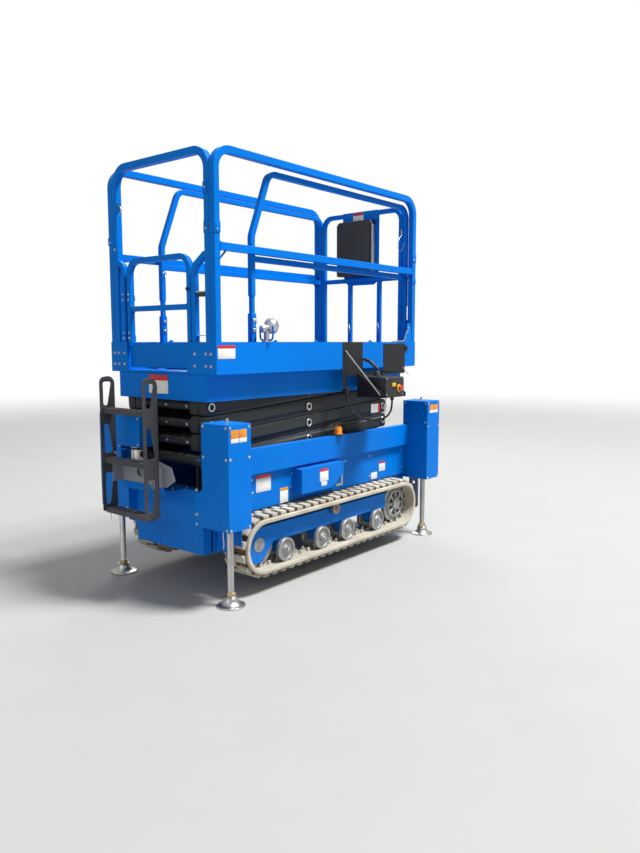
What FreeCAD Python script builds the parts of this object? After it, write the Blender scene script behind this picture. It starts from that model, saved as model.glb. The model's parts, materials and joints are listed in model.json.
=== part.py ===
import FreeCAD, Part
import math
import os
from FreeCAD import Vector as V

# Tracked scissor lift, in millimetres. While the pieces are made, x runs from the platform's ladder end
# towards the roll-out end, y from the machine's middle towards its left, and z up from the ground. At the
# end everything is moved so that the origin is under the middle of the whole machine.

# platform
platform_length = 1820.0
platform_width = 858.0
toe_height = 162.0
toe_bottom = 1180.0          # above the ground, lowered
sheet = 3.0                  # toe boards and corner plates
deck_thickness = 4.0
rail_height = 1110.0         # above the underside of the toe board
rail_tube = 38.0
rail_bend = 95.0             # on the tube's centre line
mid_rail_height = 628.0
rail_seam = 1745.0           # where the folding rails leave their sockets
seam_width = 2.0
seam_depth = 1.2
strut_radius = 5.0
strut_reach = 55.0
tab_places = (423.0, 765.0, 1294.0)
tab_half = 22.0
tab_height = 12.0
ear_plate = ((1685.0, 1335.0), (1722.0, 1465.0), (1762.0, 1465.0), (1775.0, 1335.0))
slide_strip = (320.0, 350.0)
corner_plate_near = 214.0    # length along the end, from the right side
corner_plate_far = 144.0
frame_inset = 70.0           # lower frame from the toe boards
frame_depth = 138.0
frame_length = 1750.0
frame_plate = 6.0
joist_height = 24.0
joist_width = 40.0
joist_places = (300.0, 700.0, 1100.0, 1500.0)

# scissor
levels = 4
arm_length = 1540.0          # pin to pin
level_pitch = 94.5           # height of one lowered level
arm_depth = 89.0
arm_thickness = 58.0
arm_end_reach = 35.0         # beyond the pin
arm_corner = 20.0
arm_gap = 6.0
outer_arm_face = 319.0       # from the middle to the outer side of the outer arms
arm_pin_x = 60.0
first_pin_z = 728.0
pin_radius = 15.0
pin_play = 0.3
pin_head_radius = 24.0
pin_head = 5.0
pin_hollow = 14.0
cross_tube_radius = 22.0
roller_radius = 24.0
roller_width = 24.0
guide_plate = 6.0
guide_start = 850.0
guide_end = 1680.0
running_gap = 0.3

# lift cylinder
barrel_radius = 36.0
rod_radius = 20.0
cylinder_eye_radius = 30.0
cylinder_eye_width = 44.0
cylinder_pin_radius = 14.0
barrel_base_from_end = 240.0 # on the first inner arm, from its upper pin
barrel_base_off = -50.0
rod_eye_along = 605.0        # on the second inner arm
rod_eye_off = 50.0
barrel_mouth_gap = 105.0     # barrel's mouth to the rod's eye, along the arms
barrel_bore_start = 120.0    # from the base pin
rod_start = 200.0            # from the base pin
bracket_arm = 130.0          # pin to the cross tube that carries it
bracket_plate = 8.0
bracket_gap = 5.0

# chassis
chassis_middle_x = 981.5
jack_spacing = 1855.0
jack_box_length = 158.0
jack_box_top = 941.0
jack_box_bottom = 405.0
jack_outer_face = 529.0
jack_inner_face = 334.0
jack_foot_inner_face = 275.0
jack_step_top = 604.0
jack_step_bottom = 558.0
jack_wall = 5.0
jack_rod_radius = 17.0
jack_rod_y = 451.0
jack_rod_top = 640.0
jack_rod_play = 0.3
jack_tube_wall = 8.0
pad_profile = ((0, 0), (74, 0), (74, 8), (50, 13), (38, 26), (33, 36), (33, 46), (24, 50), (0, 50))
beam_outer_face = 379.0
beam_flange = 38.0
beam_top = 777.0
beam_height = 140.0
plate = 6.0
cover_face = 350.0
cover_bottom = 438.0
centre_box_x = (650.0, 1045.0)
centre_box_z = (478.0, 622.0)
centre_box_depth = 70.0
tub_half_width = 287.0
pivot_tube_radius = 28.0     # tube between the first outer arms' lower pins
tube_stand_y = 225.0
tube_stand = 8.0
tub_bottom = 235.0
cross_member_depth = 60.0
cross_member_top = 575.0
cross_member_x = 30.0        # outer face of the ladder-end cross member
cross_member_cut = (40.0, 55.0)
skirt_x = 114.0              # plate in front of each track, under the jack box
skirt_outline = ((396.0, 250.0), (403.0, 300.0), (470.0, 300.0))  # cut free of the raised pad
ear_thickness = 9.0
tow_inner = 290.0
tow_outer = 366.0
tow_thickness = 10.0
tow_z = (160.0, 600.0)
tow_bores = ((200.0, 14.0), (260.0, 11.0), (340.0, 11.0))   # height and radius
power_unit = (620.0, 440.0, 300.0)
power_unit_x = 630.0
motor_radius = 44.0
motor_height = 210.0
motor_flange = 20.0
cover_box_x = (-95.0, -5.0)
cover_box_y = (70.0, 300.0)
cover_box_top = 955.0
motor_x = -30.0
motor_y = 160.0
shelf_reach = 100.0          # from the toe board's end towards the ladder

# beacon
beacon_x = 1050.0
beacon_inset = 10.0          # from the right beam's outer face
beacon_steps = ((0.0, 12.0, 28.0), (10.0, 46.0, 23.0), (46.0, 54.0, 17.0))

# tracks
track_gap = 7.0              # between the tub's wall and the belt
track_width = 180.0
track_clearance = 90.0       # lug tips above the ground, on the jacks
wheel_radius = 126.0
belt_thickness = 22.0
belt_edge = 14.0             # smooth band beside the lugs
lug_height = 20.0
lug_width = 48.0
lug_flank = 5.0
lug_count = 52
wheel_base = 1334.0
idler_x = 303.0
tooth_height = 20.0
tooth_length = 30.0
tooth_width = 13.0
tooth_inner = 15.0           # from the track's middle to each row of teeth
roller_places = (492.0, 812.0, 1059.0, 1374.0)
bottom_roller_radius = 66.0
roller_disc = 25.0
roller_disc_gap = 74.0
roller_rim = 11.0
roller_dish = 9.0
roller_hub = 20.0
roller_cap = 3.0
hanger_half = 30.0           # beam's lug round each roller axle
top_roller_radius = 33.0
top_roller_width = 26.0
top_roller_x = 940.0
top_axle_radius = 12.0
track_beam_width = 60.0
track_beam_z = (256.0, 352.0)
fork_reach = 100.0           # beam's end round the idler and the sprocket axle
fork_slot = 34.0
wheel_hub_radius = 40.0
roller_axle_radius = 20.0
wheel_half = 13.0            # half the width of the running ring
spoke_face = 25.0            # sprocket's outer face from the track's middle
sprocket_rim = (78.0, 94.0)
ring_depth = 36.0
spoke_half = 9.0
spoke_count = 8
carrier_places = (610.0, 1180.0)
carrier_size = 80.0
carrier_height = 60.0

# ladder
ladder_half_width = 175.0
ladder_middle_y = 46.0
ladder_front = -225.0
ladder_depth = 92.0
ladder_bottom = 445.0
ladder_top = 1168.0
ladder_plate = 6.0
rung_heights = (452.0, 720.0, 984.0)
rung_depth = 60.0
rung_half = 14.0
rung_set_back = 16.0
window_front = 20.0          # from the ladder's front edge
window_widths = (26.0, 52.0)
windows = ((480.0, 650.0, False), (757.0, 912.0, True), (1010.0, 1135.0, False))  # last: wide end below
bracket_hole_places = ((-39.0, 695.0, 24.0), (70.0, 660.0, 24.0), (-108.0, 663.0, 9.0))
bracket_wing = ((-150.0, 600.0), (-217.0, 641.0), (-186.0, 707.0), (-81.0, 734.0), (-60.0, 715.0))

# roll-out deck
extension_start = 300.0
extension_end = 1806.0
extension_half_width = 383.0
extension_tube = 30.0
extension_socket = 34.0      # tube that each post stands in
extension_inner = 24.0       # bare tube between socket and rail
socket_top = 1490.0
inner_top = 1581.0
extension_deck = 4.0
extension_gap = 5.7          # height of the slide strips on the deck
extension_rear_post = 318.0
extension_knee_z = 1887.0
extension_slope_x = 450.0
extension_bend = 70.0
extension_top = 2238.0
extension_mid_z = 1772.0
extension_toe = 140.0
front_posts = (-155.0, 95.0)
front_post_half = 14.0
front_panel = ((-150.0, 1772.0), (-110.0, 1738.0), (110.0, 1738.0), (150.0, 1772.0))
front_panel_plate = 4.0
document_y = (-120.0, 180.0)
document_z = (1800.0, 2175.0)
document_depth = 52.0

# entry gate
gate_y = (-235.0, 285.0)
gate_tube = 30.0
gate_top = 1789.0
gate_bottom = 1318.0
gate_bar_z = 1520.0
gate_gap = 12.0
gate_front = 9.0             # the gate's outer face, behind the corner plates
hinge_radius = 6.0
hinge_half = 30.0
hinge_leaf = 4.0
hinge_reach = 3.0            # from the gate's back to the knuckle
hinge_heights = (1376.0, 1592.0)
near_arch_fall = 60.0
far_arch_fall = 26.0
gate_bar_half = 14.0
kick_set_back = 12.0         # kick plate from the gate's outer face
kick_side_gap = 4.0
kick_low_gap = 26.0
kick_lap = 20.0
gate_bend = 70.0

# control box
control_x = (1180.0, 1378.0)
control_z = (1012.0, 1136.0)
control_reach = 200.0
bracket_left_x = (1013.0, 1215.0)
bracket_right_x = (1440.0, 1690.0)
bracket_sheet = 3.0
bracket_bar = (1136.5, 1160.0)
bracket_leg = (40.0, 1046.0)   # width and lower end of the left plate's leg
shelf_margin = 20.0
stay = ((1035.0, -435.0, 1290.0), (1161.5, -600.0, 1025.0))
stay_radius = 3.5
stalk = ((1245.0, -520.0, 1130.0), (1245.0, -520.0, 1180.0), (1225.0, -480.0, 1222.0),
         (1215.0, -436.0, 1240.0))
stalk_radius = 10.0
cable_tab = (14.0, 8.0)      # half width and thickness of the tab that holds the cable's upper gland

# lamp on the right toe board
lamp_start = (338.0, -410.0, 1408.0)
lamp_lean = (0.97, 0.0, 0.24)
lamp_profile = ((0, 0), (0, 15), (5, 20), (28, 20), (34, 13), (44, 13), (52, 30), (66, 40), (86, 41),
                (104, 33), (112, 20), (115, 0))
lamp_stand_x = (366.0, 389.0)
cable_radius = 6.0
gland_radius = 11.0
cable_route = ((1030, -450, 1046), (1030, -450, 990), (1056, -468, 926), (1122, -496, 880), (1205, -524, 862),
               (1285, -546, 870), (1330, -556, 898), (1350, -560, 938), (1350, -560, 982))


def box(x0, x1, y0, y1, z0, z1):
    return Part.makeBox(x1 - x0, y1 - y0, z1 - z0, V(x0, y0, z0))


def rod(start, end, radius):
    a, b = V(*start), V(*end)
    return Part.makeCylinder(radius, (b - a).Length, a, b - a)


def mirrored(shape):
    return shape.mirror(V(0, 0, 0), V(0, 1, 0))


def both(shape):
    return [shape, mirrored(shape)]


def joined(shapes):
    whole = shapes[0].multiFuse(shapes[1:]) if len(shapes) > 1 else shapes[0]
    return whole.removeSplitter()


def lift_up(points, plane, level):
    """Turns pairs into points of a plane: 'xz' at y = level, 'yz' at x = level, 'xy' at z = level."""
    turn = {"xz": lambda a, b: V(a, level, b), "yz": lambda a, b: V(level, a, b),
            "xy": lambda a, b: V(a, b, level)}
    return [turn[plane](a, b) for a, b in points]


def rounded_wire(points, radii):
    """Closed wire through the points, each corner rounded by its own radius."""
    edges = []
    count = len(points)
    starts = []
    ends = []
    for i, p in enumerate(points):
        before, after = points[i - 1], points[(i + 1) % count]
        u, w = (before - p).normalize(), (after - p).normalize()
        angle = u.getAngle(w)
        radius = radii[i]
        if radius < 0.01 or abs(angle - math.pi) < 1e-6:
            starts.append(p)
            ends.append(p)
            continue
        reach = radius / math.tan(angle / 2)
        centre = p + (u + w).normalize() * (radius / math.sin(angle / 2))
        middle = centre + (p - centre).normalize() * radius
        starts.append(p + u * reach)
        ends.append(p + w * reach)
        edges.append((i, Part.Arc(p + u * reach, middle, p + w * reach).toShape()))
    arcs = dict(edges)
    ring = []
    for i in range(count):
        if i in arcs:
            ring.append(arcs[i])
        a, b = ends[i], starts[(i + 1) % count]
        if (b - a).Length > 1e-6:
            ring.append(Part.LineSegment(a, b).toShape())
    return Part.Wire(ring)


def panel(points, plane, level, thickness, radius=0.0, holes=()):
    """Plate cut from a plane: its outline, corner radius, and round holes as (a, b, radius)."""
    direction = {"xz": V(0, 1, 0), "yz": V(1, 0, 0), "xy": V(0, 0, 1)}[plane]
    radii = radius if isinstance(radius, (list, tuple)) else [radius] * len(points)
    face = Part.Face(rounded_wire(lift_up(points, plane, level), radii))
    body = face.extrude(direction * thickness)
    for a, b, r in holes:
        centre = lift_up([(a, b)], plane, level - 1)[0]
        body = body.cut(Part.makeCylinder(r, thickness + 2, centre, direction))
    return body


def bent_tube(points, plane, level, size, bend, closed=False):
    """Square tube along a path in a plane; level is the tube's lower side across the plane."""
    half = size / 2
    path = [FreeCAD.Vector(a, b, 0) for a, b in points]
    count = len(path)

    def side(sign):
        corners, radii = [], []
        for i, p in enumerate(path):
            ahead = (path[(i + 1) % count] - p).normalize() if closed or i < count - 1 else None
            back = (p - path[i - 1]).normalize() if closed or i > 0 else None
            if ahead is None or back is None:
                d = ahead or back
                corners.append(p + V(-d.y, d.x, 0) * half * sign)
                radii.append(0.0)
                continue
            n1, n2 = V(-back.y, back.x, 0), V(-ahead.y, ahead.x, 0)
            turn = back.x * ahead.y - back.y * ahead.x
            mitre = (n1 + n2).normalize()
            corners.append(p + mitre * (half * sign / mitre.dot(n1)))
            radii.append(bend - half * sign * (1 if turn > 0 else -1))
        return corners, radii

    left, left_radii = side(1)
    right, right_radii = side(-1)
    direction = {"xz": V(0, 1, 0), "yz": V(1, 0, 0), "xy": V(0, 0, 1)}[plane]

    def wire(corners, radii):
        flat = [(c.x, c.y) for c in corners]
        return rounded_wire(lift_up(flat, plane, level), radii)

    if closed:
        outer, inner = (right, right_radii), (left, left_radii)
        wires = sorted([wire(*outer), wire(*inner)], key=lambda w: -w.BoundBox.DiagonalLength)
        rings = [Part.Face(w).extrude(direction * size) for w in wires]
        return rings[0].cut(rings[1])
    ring = wire(left + right[::-1], left_radii + right_radii[::-1])
    return Part.Face(ring).extrude(direction * size)


def turned(points, centre, direction):
    """Body turned from a closed outline that lies on one side of its axis."""
    return Part.Face(Part.makePolygon(points + points[:1])).revolve(centre, direction, 360)


nodes = {}


def node(name, *shapes):
    nodes[name] = shapes[0] if len(shapes) == 1 else Part.makeCompound(list(shapes))


# platform frame and deck
toe_top = toe_bottom + toe_height
half_platform = platform_width / 2
frame_face = half_platform - frame_inset
frame_bottom = toe_bottom - frame_depth
deck_top = toe_bottom + deck_thickness
platform_pin_z = first_pin_z + levels * level_pitch
inner_arm_face = outer_arm_face - arm_thickness - arm_gap
guide_inner = outer_arm_face + pin_head + 3
frame_inner = frame_face - frame_plate

side_plate = box(0, frame_length, frame_inner, frame_face, frame_bottom, toe_bottom)
frame_parts = both(side_plate)
for x in (0, frame_length - frame_plate):
    frame_parts.append(box(x, x + frame_plate, -frame_inner, frame_inner, frame_bottom, toe_bottom))
joist_low = toe_bottom - joist_height
for x in joist_places:
    frame_parts.append(box(x, x + joist_width, -frame_inner, frame_inner, joist_low, toe_bottom))
guide_half = roller_radius + running_gap
for z in (platform_pin_z - guide_half - guide_plate, platform_pin_z + guide_half):
    frame_parts += both(box(guide_start, guide_end, guide_inner, frame_inner, z, z + guide_plate))
ear_foot = (20.0, 104.0)
ear_tip = (32.0, 90.0)
ear_low = platform_pin_z - 28
platform_ear = panel([(ear_foot[0], toe_bottom), (ear_foot[1], toe_bottom), (ear_tip[1], ear_low),
                      (ear_tip[0], ear_low)],
                     "xz", inner_arm_face + arm_gap, ear_thickness, [0, 0, 24, 24],
                     [(arm_pin_x, platform_pin_z, pin_radius + pin_play)])
frame_parts += both(platform_ear)
node("platform_frame", *frame_parts)

toe_inner = half_platform - sheet
deck = box(sheet, platform_length - sheet, -toe_inner, toe_inner, toe_bottom, deck_top)
deck_parts = [deck] + both(box(0, platform_length, toe_inner, half_platform, toe_bottom, toe_top))
deck_parts.append(box(0, sheet, -toe_inner, -toe_inner + corner_plate_near, toe_bottom, toe_top))
deck_parts.append(box(0, sheet, toe_inner - corner_plate_far, toe_inner, toe_bottom, toe_top))
deck_parts.append(box(0, sheet, -toe_inner, toe_inner, toe_bottom, toe_bottom + 12))
slide_strip_top = deck_top + extension_gap
deck_parts += both(box(extension_start - 60, platform_length - 60, *slide_strip, deck_top, slide_strip_top))
for x in tab_places:
    tab_top = toe_top + tab_height
    tab = [(x - tab_half, toe_top), (x + tab_half, toe_top), (x + tab_half / 2, tab_top), (x, tab_top)]
    deck_parts += both(panel(tab, "xz", toe_inner, sheet))
deck_parts.append(panel(list(ear_plate), "xz", -half_platform, sheet, [0, 12, 12, 0]))
node("deck", joined(deck_parts))

# side rails: posts stand inside the toe boards
rail_top = toe_bottom + rail_height
rail_outer = toe_inner
rail_y = rail_outer - rail_tube
half_tube = rail_tube / 2
near_post = sheet + half_tube
far_post = platform_length - half_tube
mid_z = toe_bottom + mid_rail_height
hoop = bent_tube([(near_post, deck_top), (near_post, rail_top - half_tube), (far_post, rail_top - half_tube),
                  (far_post, deck_top)], "xz", rail_y, rail_tube, rail_bend)
mid_low, mid_high = mid_z - half_tube, mid_z + half_tube
mid_rail = box(near_post + half_tube, far_post - half_tube, rail_y, rail_outer, mid_low, mid_high)


def seam(x, y):
    """Shallow groove round a square post, where a folding rail leaves its socket."""
    outer, inner = half_tube + 1, half_tube - seam_depth
    low, high = rail_seam - seam_width / 2, rail_seam + seam_width / 2
    block = box(x - outer, x + outer, y - outer, y + outer, low, high)
    return block.cut(box(x - inner, x + inner, y - inner, y + inner, low, high))


post_y = rail_y + half_tube
struts = []
for x, way in ((near_post + half_tube, 1), (far_post - half_tube, -1)):
    low_end = (x - 2 * way, post_y, mid_low - strut_reach)
    struts.append(rod(low_end, (x + way * strut_reach, post_y, mid_low + 2), strut_radius))
side_rail = joined([hoop, mid_rail] + struts)
for x in (near_post, far_post):
    side_rail = side_rail.cut(seam(x, post_y))
node("side_rail_left", side_rail)
node("side_rail_right", mirrored(side_rail))

# ladder-end rail with a half arch on each side of the gate
end_post_y = rail_y - half_tube
top_line = rail_top - half_tube
end_hoop = bent_tube([(-end_post_y, deck_top), (-end_post_y, top_line), (end_post_y, top_line),
                      (end_post_y, deck_top)],
                     "yz", sheet, rail_tube, rail_bend)
arch_half = gate_tube / 2
arch_z = gate_top - arch_half
arch_near = gate_y[0] - gate_gap - arch_half
arch_far = gate_y[1] + gate_gap + arch_half
arch_start = end_post_y - half_tube
near_arch = bent_tube([(-arch_start, arch_z), (arch_near, arch_z - near_arch_fall), (arch_near, deck_top)],
                      "yz", sheet, gate_tube, near_arch_fall)
far_arch = bent_tube([(arch_start, arch_z), (arch_far, arch_z - far_arch_fall), (arch_far, deck_top)],
                     "yz", sheet, gate_tube, far_arch_fall)
end_parts = [end_hoop, near_arch, far_arch]
gate_back = gate_front + gate_tube
hinge_x = gate_back + hinge_radius + hinge_reach
hinge_y = gate_y[1] + hinge_radius
for z in hinge_heights:
    end_parts.append(box(sheet + gate_tube, hinge_x, hinge_y, hinge_y + hinge_radius + 4, z, z + hinge_half))
    end_parts.append(rod((hinge_x, hinge_y, z), (hinge_x, hinge_y, z + hinge_half), hinge_radius))
end_rail = joined(end_parts)
for y in (-end_post_y, end_post_y):
    end_rail = end_rail.cut(seam(near_post, y))
node("end_rail", end_rail)

# entry gate: arch, bar, kick plate and hinge knuckles
left_post = gate_y[1] - arch_half
right_post = gate_y[0] + arch_half
gate_hoop = bent_tube([(right_post, gate_bottom), (right_post, arch_z), (left_post, arch_z),
                       (left_post, gate_bottom)],
                      "yz", gate_front, gate_tube, gate_bend)
bar_low, bar_high = gate_bar_z - gate_bar_half, gate_bar_z + gate_bar_half
kick_x = gate_front + kick_set_back
gate_parts = [gate_hoop, box(gate_front, gate_back, right_post, left_post, bar_low, bar_high),
              box(kick_x, kick_x + sheet, gate_y[0] + kick_side_gap, gate_y[1] - kick_side_gap,
                  toe_bottom + kick_low_gap, gate_bottom + kick_lap)]
for z in hinge_heights:
    low, high = z - hinge_half, z - running_gap
    gate_parts.append(box(gate_back, gate_back + hinge_leaf, left_post - arch_half, hinge_y, low, high))
    gate_parts.append(box(gate_back, hinge_x, hinge_y - hinge_radius, hinge_y, low, high))
    gate_parts.append(rod((hinge_x, hinge_y, low), (hinge_x, hinge_y, high), hinge_radius))
node("gate", joined(gate_parts))

# roll-out deck
ext_bottom = slide_strip_top + running_gap
ext_top = ext_bottom + extension_deck
half_ext = extension_half_width
ext_parts = [box(extension_start, extension_end, -half_ext, half_ext, ext_bottom, ext_top)]
toe_high = ext_bottom + extension_toe
ext_parts += both(box(extension_start, extension_end, half_ext - sheet, half_ext, ext_bottom, toe_high))
ext_parts.append(box(extension_end - sheet, extension_end, -half_ext, half_ext, ext_bottom, toe_top))
node("extension_deck", joined(ext_parts))

ext_half = extension_tube / 2
half_socket = extension_socket / 2
half_inner = extension_inner / 2
ext_post_y = half_ext - sheet - half_socket
ext_rail_y = ext_post_y - ext_half
ext_front = extension_end - sheet - half_socket
ext_hoop = bent_tube([(extension_rear_post, inner_top), (extension_rear_post, extension_knee_z),
                      (extension_slope_x, extension_top - ext_half), (ext_front, extension_top - ext_half),
                      (ext_front, inner_top)], "xz", ext_rail_y, extension_tube, extension_bend)
ext_mid = box(extension_rear_post, ext_front, ext_rail_y, ext_rail_y + extension_tube,
              extension_mid_z - ext_half, extension_mid_z + ext_half)
ext_parts = [ext_hoop, ext_mid]
for x in (extension_rear_post, ext_front):
    for half, z0, z1 in ((half_socket, ext_top, socket_top), (half_inner, socket_top, inner_top)):
        ext_parts.append(box(x - half, x + half, ext_post_y - half, ext_post_y + half, z0, z1))
ext_rail = joined(ext_parts)
node("extension_rails", *both(ext_rail))

front_y = ext_post_y - half_socket - ext_half
panel_top = extension_top - ext_half
front_hoop = bent_tube([(-front_y, ext_top), (-front_y, panel_top), (front_y, panel_top), (front_y, ext_top)],
                       "yz", ext_front - ext_half, extension_tube, extension_bend)
front_parts = [front_hoop, box(ext_front - ext_half, ext_front + ext_half, -front_y, front_y,
                               extension_mid_z - ext_half, extension_mid_z + ext_half)]
for y in front_posts:
    front_parts.append(box(ext_front - front_post_half, ext_front + front_post_half, y - front_post_half,
                           y + front_post_half, ext_top, extension_mid_z))
panel_line = [*front_panel, (front_panel[-1][0], panel_top), (front_panel[0][0], panel_top)]
panel_back = ext_front - front_panel_plate / 2
front_parts.append(panel(panel_line, "yz", panel_back, front_panel_plate))
node("front_rail", joined(front_parts))
doc_right, doc_left = document_y
doc_low, doc_high = document_z
document = panel([(doc_right, doc_low), (doc_left, doc_low), (doc_left, doc_high), (doc_right, doc_high)],
                 "yz",
                 panel_back - document_depth, document_depth, [14, 14, 32, 32])
node("document_box", document)

# scissor arms: the outer pair rises towards the roll-out end, the inner pair towards the ladder
arm_angle = math.asin(level_pitch / arm_length)
run_x = arm_length * math.cos(arm_angle)
far_pin_x = arm_pin_x + run_x


barrel_base_along = arm_length - barrel_base_from_end
barrel_reach = barrel_base_along - rod_eye_along - barrel_mouth_gap


def along(kind, level, distance, off=0.0):
    """Point on an arm of a level, by its distance from the lower pin and height off its middle line."""
    z0 = first_pin_z + (level - 1) * level_pitch
    way = 1 if kind == "outer" else -1
    x0 = arm_pin_x if kind == "outer" else far_pin_x
    c, s = math.cos(arm_angle), math.sin(arm_angle)
    return x0 + way * (distance * c - off * s), z0 + distance * s + off * c


def arm_bar(kind, level, inner_face, holes):
    half, reach = arm_depth / 2, arm_end_reach
    corners = [along(kind, level, d, o) for d, o in
               ((-reach, -half), (arm_length + reach, -half), (arm_length + reach, half), (-reach, half))]
    return panel(corners, "xz", inner_face, arm_thickness, arm_corner, holes)


inner_low = inner_arm_face - arm_thickness
outer_low = outer_arm_face - arm_thickness
bore = pin_radius + pin_play
for level in range(1, levels + 1):
    ends = [along("outer", level, 0), along("outer", level, arm_length / 2), along("outer", level, arm_length)]
    parts = both(arm_bar("outer", level, outer_low, []))
    for place, (x, z) in enumerate(ends):
        pin_in, pin_out = inner_low + 1, outer_arm_face
        if place == 0 and level == 1:
            pin_in, pin_out = outer_low, jack_inner_face - 2
        if place == 2 and level == levels:
            pin_in, pin_out = outer_low, frame_inner - 2
        parts += both(rod((x, pin_in, z), (x, pin_out, z), pin_radius))
        if pin_out == outer_arm_face:
            head_face = outer_arm_face + pin_head
            head = rod((x, outer_arm_face, z), (x, head_face, z), pin_head_radius)
            parts += both(head.cut(rod((x, outer_arm_face, z), (x, head_face, z), pin_hollow)))
    if level == levels:
        x, z = ends[2]
        parts += both(rod((x, guide_inner + 2, z), (x, guide_inner + 2 + 20, z), roller_radius))
    solids = [joined([s for s in parts if (s.BoundBox.YMax > 0) == side]) for side in (True, False)]
    node("outer_arms_%d" % level, *solids)

    holes = [along("inner", level, d) + (bore,) for d in (0, arm_length / 2, arm_length)]
    if level == 1:
        holes = holes[1:]
    if level == levels:
        holes = holes[:2]
    parts = both(arm_bar("inner", level, inner_low, holes))
    spots = [0, arm_length]
    if level == 1:
        spots.append(barrel_base_along + bracket_arm)
        x, z = along("inner", level, 0)
        roller_in = inner_arm_face + arm_gap
        parts += both(rod((x, inner_low, z), (x, roller_in + roller_width, z), pin_radius))
        parts += both(rod((x, roller_in, z), (x, roller_in + roller_width, z), roller_radius))
    if level == 2:
        spots.append(rod_eye_along - bracket_arm)
    if level == levels:
        x, z = along("inner", level, arm_length)
        parts += both(rod((x, inner_low, z), (x, inner_arm_face + arm_gap + ear_thickness + 3, z), pin_radius))
    for d in spots:
        x, z = along("inner", level, d)
        parts.append(rod((x, -inner_low, z), (x, inner_low, z), cross_tube_radius))
    lug_in = barrel_radius + bracket_gap
    if level == 1:
        tube = along("inner", 1, barrel_base_along + bracket_arm)
        pin = along("inner", 1, barrel_base_along, barrel_base_off)
        pin_end = lug_in + bracket_plate
        parts.append(rod((pin[0], -pin_end, pin[1]), (pin[0], pin_end, pin[1]), cylinder_pin_radius))
    if level == 2:
        tube = along("inner", 2, rod_eye_along - bracket_arm)
        pin = along("inner", 2, rod_eye_along, rod_eye_off)
    if level in (1, 2):
        lean = V(tube[0] - pin[0], 0, tube[1] - pin[1]).normalize()
        side = V(-lean.z, 0, lean.x)
        corners = []
        for point, size in ((pin, cylinder_eye_radius), (tube, cross_tube_radius)):
            sign = -1 if point is pin else 1
            for s in (sign, -sign):
                c = V(point[0], 0, point[1]) + side * (size * s) + lean * (size * sign)
                corners.append((c.x, c.z))
        parts += both(panel(corners, "xz", lug_in, bracket_plate, [24, 24, 0, 0]))
    node("inner_arms_%d" % level, joined(parts))

# lift cylinder, lying between the inner arms of the first two levels
base = V(*[along("inner", 1, barrel_base_along, barrel_base_off)[0], 0,
           along("inner", 1, barrel_base_along, barrel_base_off)[1]])
eye_at = along("inner", 2, rod_eye_along, rod_eye_off)
eye = V(eye_at[0], 0, eye_at[1])
aim = (eye - base).normalize()
half_eye = cylinder_eye_width / 2


def eye_block(centre, bore_radius):
    ring = rod((centre.x, -half_eye, centre.z), (centre.x, half_eye, centre.z), cylinder_eye_radius)
    return ring if bore_radius == 0 else ring.cut(
        rod((centre.x, -half_eye - 1, centre.z), (centre.x, half_eye + 1, centre.z), bore_radius))


def stretch(start, finish, radius):
    a, b = base + aim * start, base + aim * finish
    return Part.makeCylinder(radius, finish - start, a, b - a)


cylinder_length = (eye - base).Length
bore_end = half_eye + 1
base_pin_hole = rod((base.x, -bore_end, base.z), (base.x, bore_end, base.z), cylinder_pin_radius + pin_play)
barrel = joined([eye_block(base, 0), stretch(20, 60, 24), stretch(50, barrel_reach, barrel_radius)])
barrel = barrel.cut(base_pin_hole).cut(stretch(barrel_bore_start, barrel_reach + 1, rod_radius + pin_play))
node("lift_cylinder", barrel)
node("lift_rod", joined([stretch(rod_start, cylinder_length - 20, rod_radius), eye_block(eye, 0)]).cut(
    rod((eye.x, -half_eye - 1, eye.z), (eye.x, half_eye + 1, eye.z), cylinder_pin_radius)))

# chassis: jack boxes, beams, covers, tub and end cross members
jack_x = [chassis_middle_x - jack_spacing / 2, chassis_middle_x + jack_spacing / 2]
half_box = jack_box_length / 2


def jack_outline(wall):
    outer, low, high = jack_outer_face - wall, jack_box_bottom + wall, jack_box_top - wall
    inner, foot_inner = jack_inner_face + wall, jack_foot_inner_face + wall
    return [(outer, high), (inner, high), (inner, jack_step_top), (foot_inner, jack_step_bottom),
            (foot_inner, low), (outer, low)]


legs = {}
for end, x in (("front", jack_x[0]), ("rear", jack_x[1])):
    shell = panel(jack_outline(0), "yz", x - half_box, jack_box_length)
    hollow = panel(jack_outline(jack_wall), "yz", x - half_box + jack_wall, jack_box_length - 2 * jack_wall)
    shell = shell.cut(hollow)
    tube_top = jack_box_top - jack_wall
    guide = rod((x, jack_rod_y, jack_box_bottom), (x, jack_rod_y, tube_top), jack_rod_radius + jack_tube_wall)
    hole_top = tube_top - jack_wall
    hole = rod((x, jack_rod_y, jack_box_bottom - 1), (x, jack_rod_y, hole_top),
               jack_rod_radius + jack_rod_play)
    upper_room = box(x - half_box, x + half_box, 0, jack_outer_face, jack_step_top, jack_box_top)
    foot = joined([shell.cut(upper_room), guide]).cut(hole)
    jack = Part.makeCompound([shell.common(upper_room), foot])
    pad = turned([V(x + r, jack_rod_y, z) for r, z in pad_profile], V(x, jack_rod_y, 0), V(0, 0, 1))
    shank_start = pad_profile[-1][1] - 1
    leg = joined([pad, rod((x, jack_rod_y, shank_start), (x, jack_rod_y, jack_rod_top), jack_rod_radius)])
    node("jack_box_%s_left" % end, jack)
    node("jack_box_%s_right" % end, mirrored(jack))
    node("jack_leg_%s_left" % end, leg)
    node("jack_leg_%s_right" % end, mirrored(leg))

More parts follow.
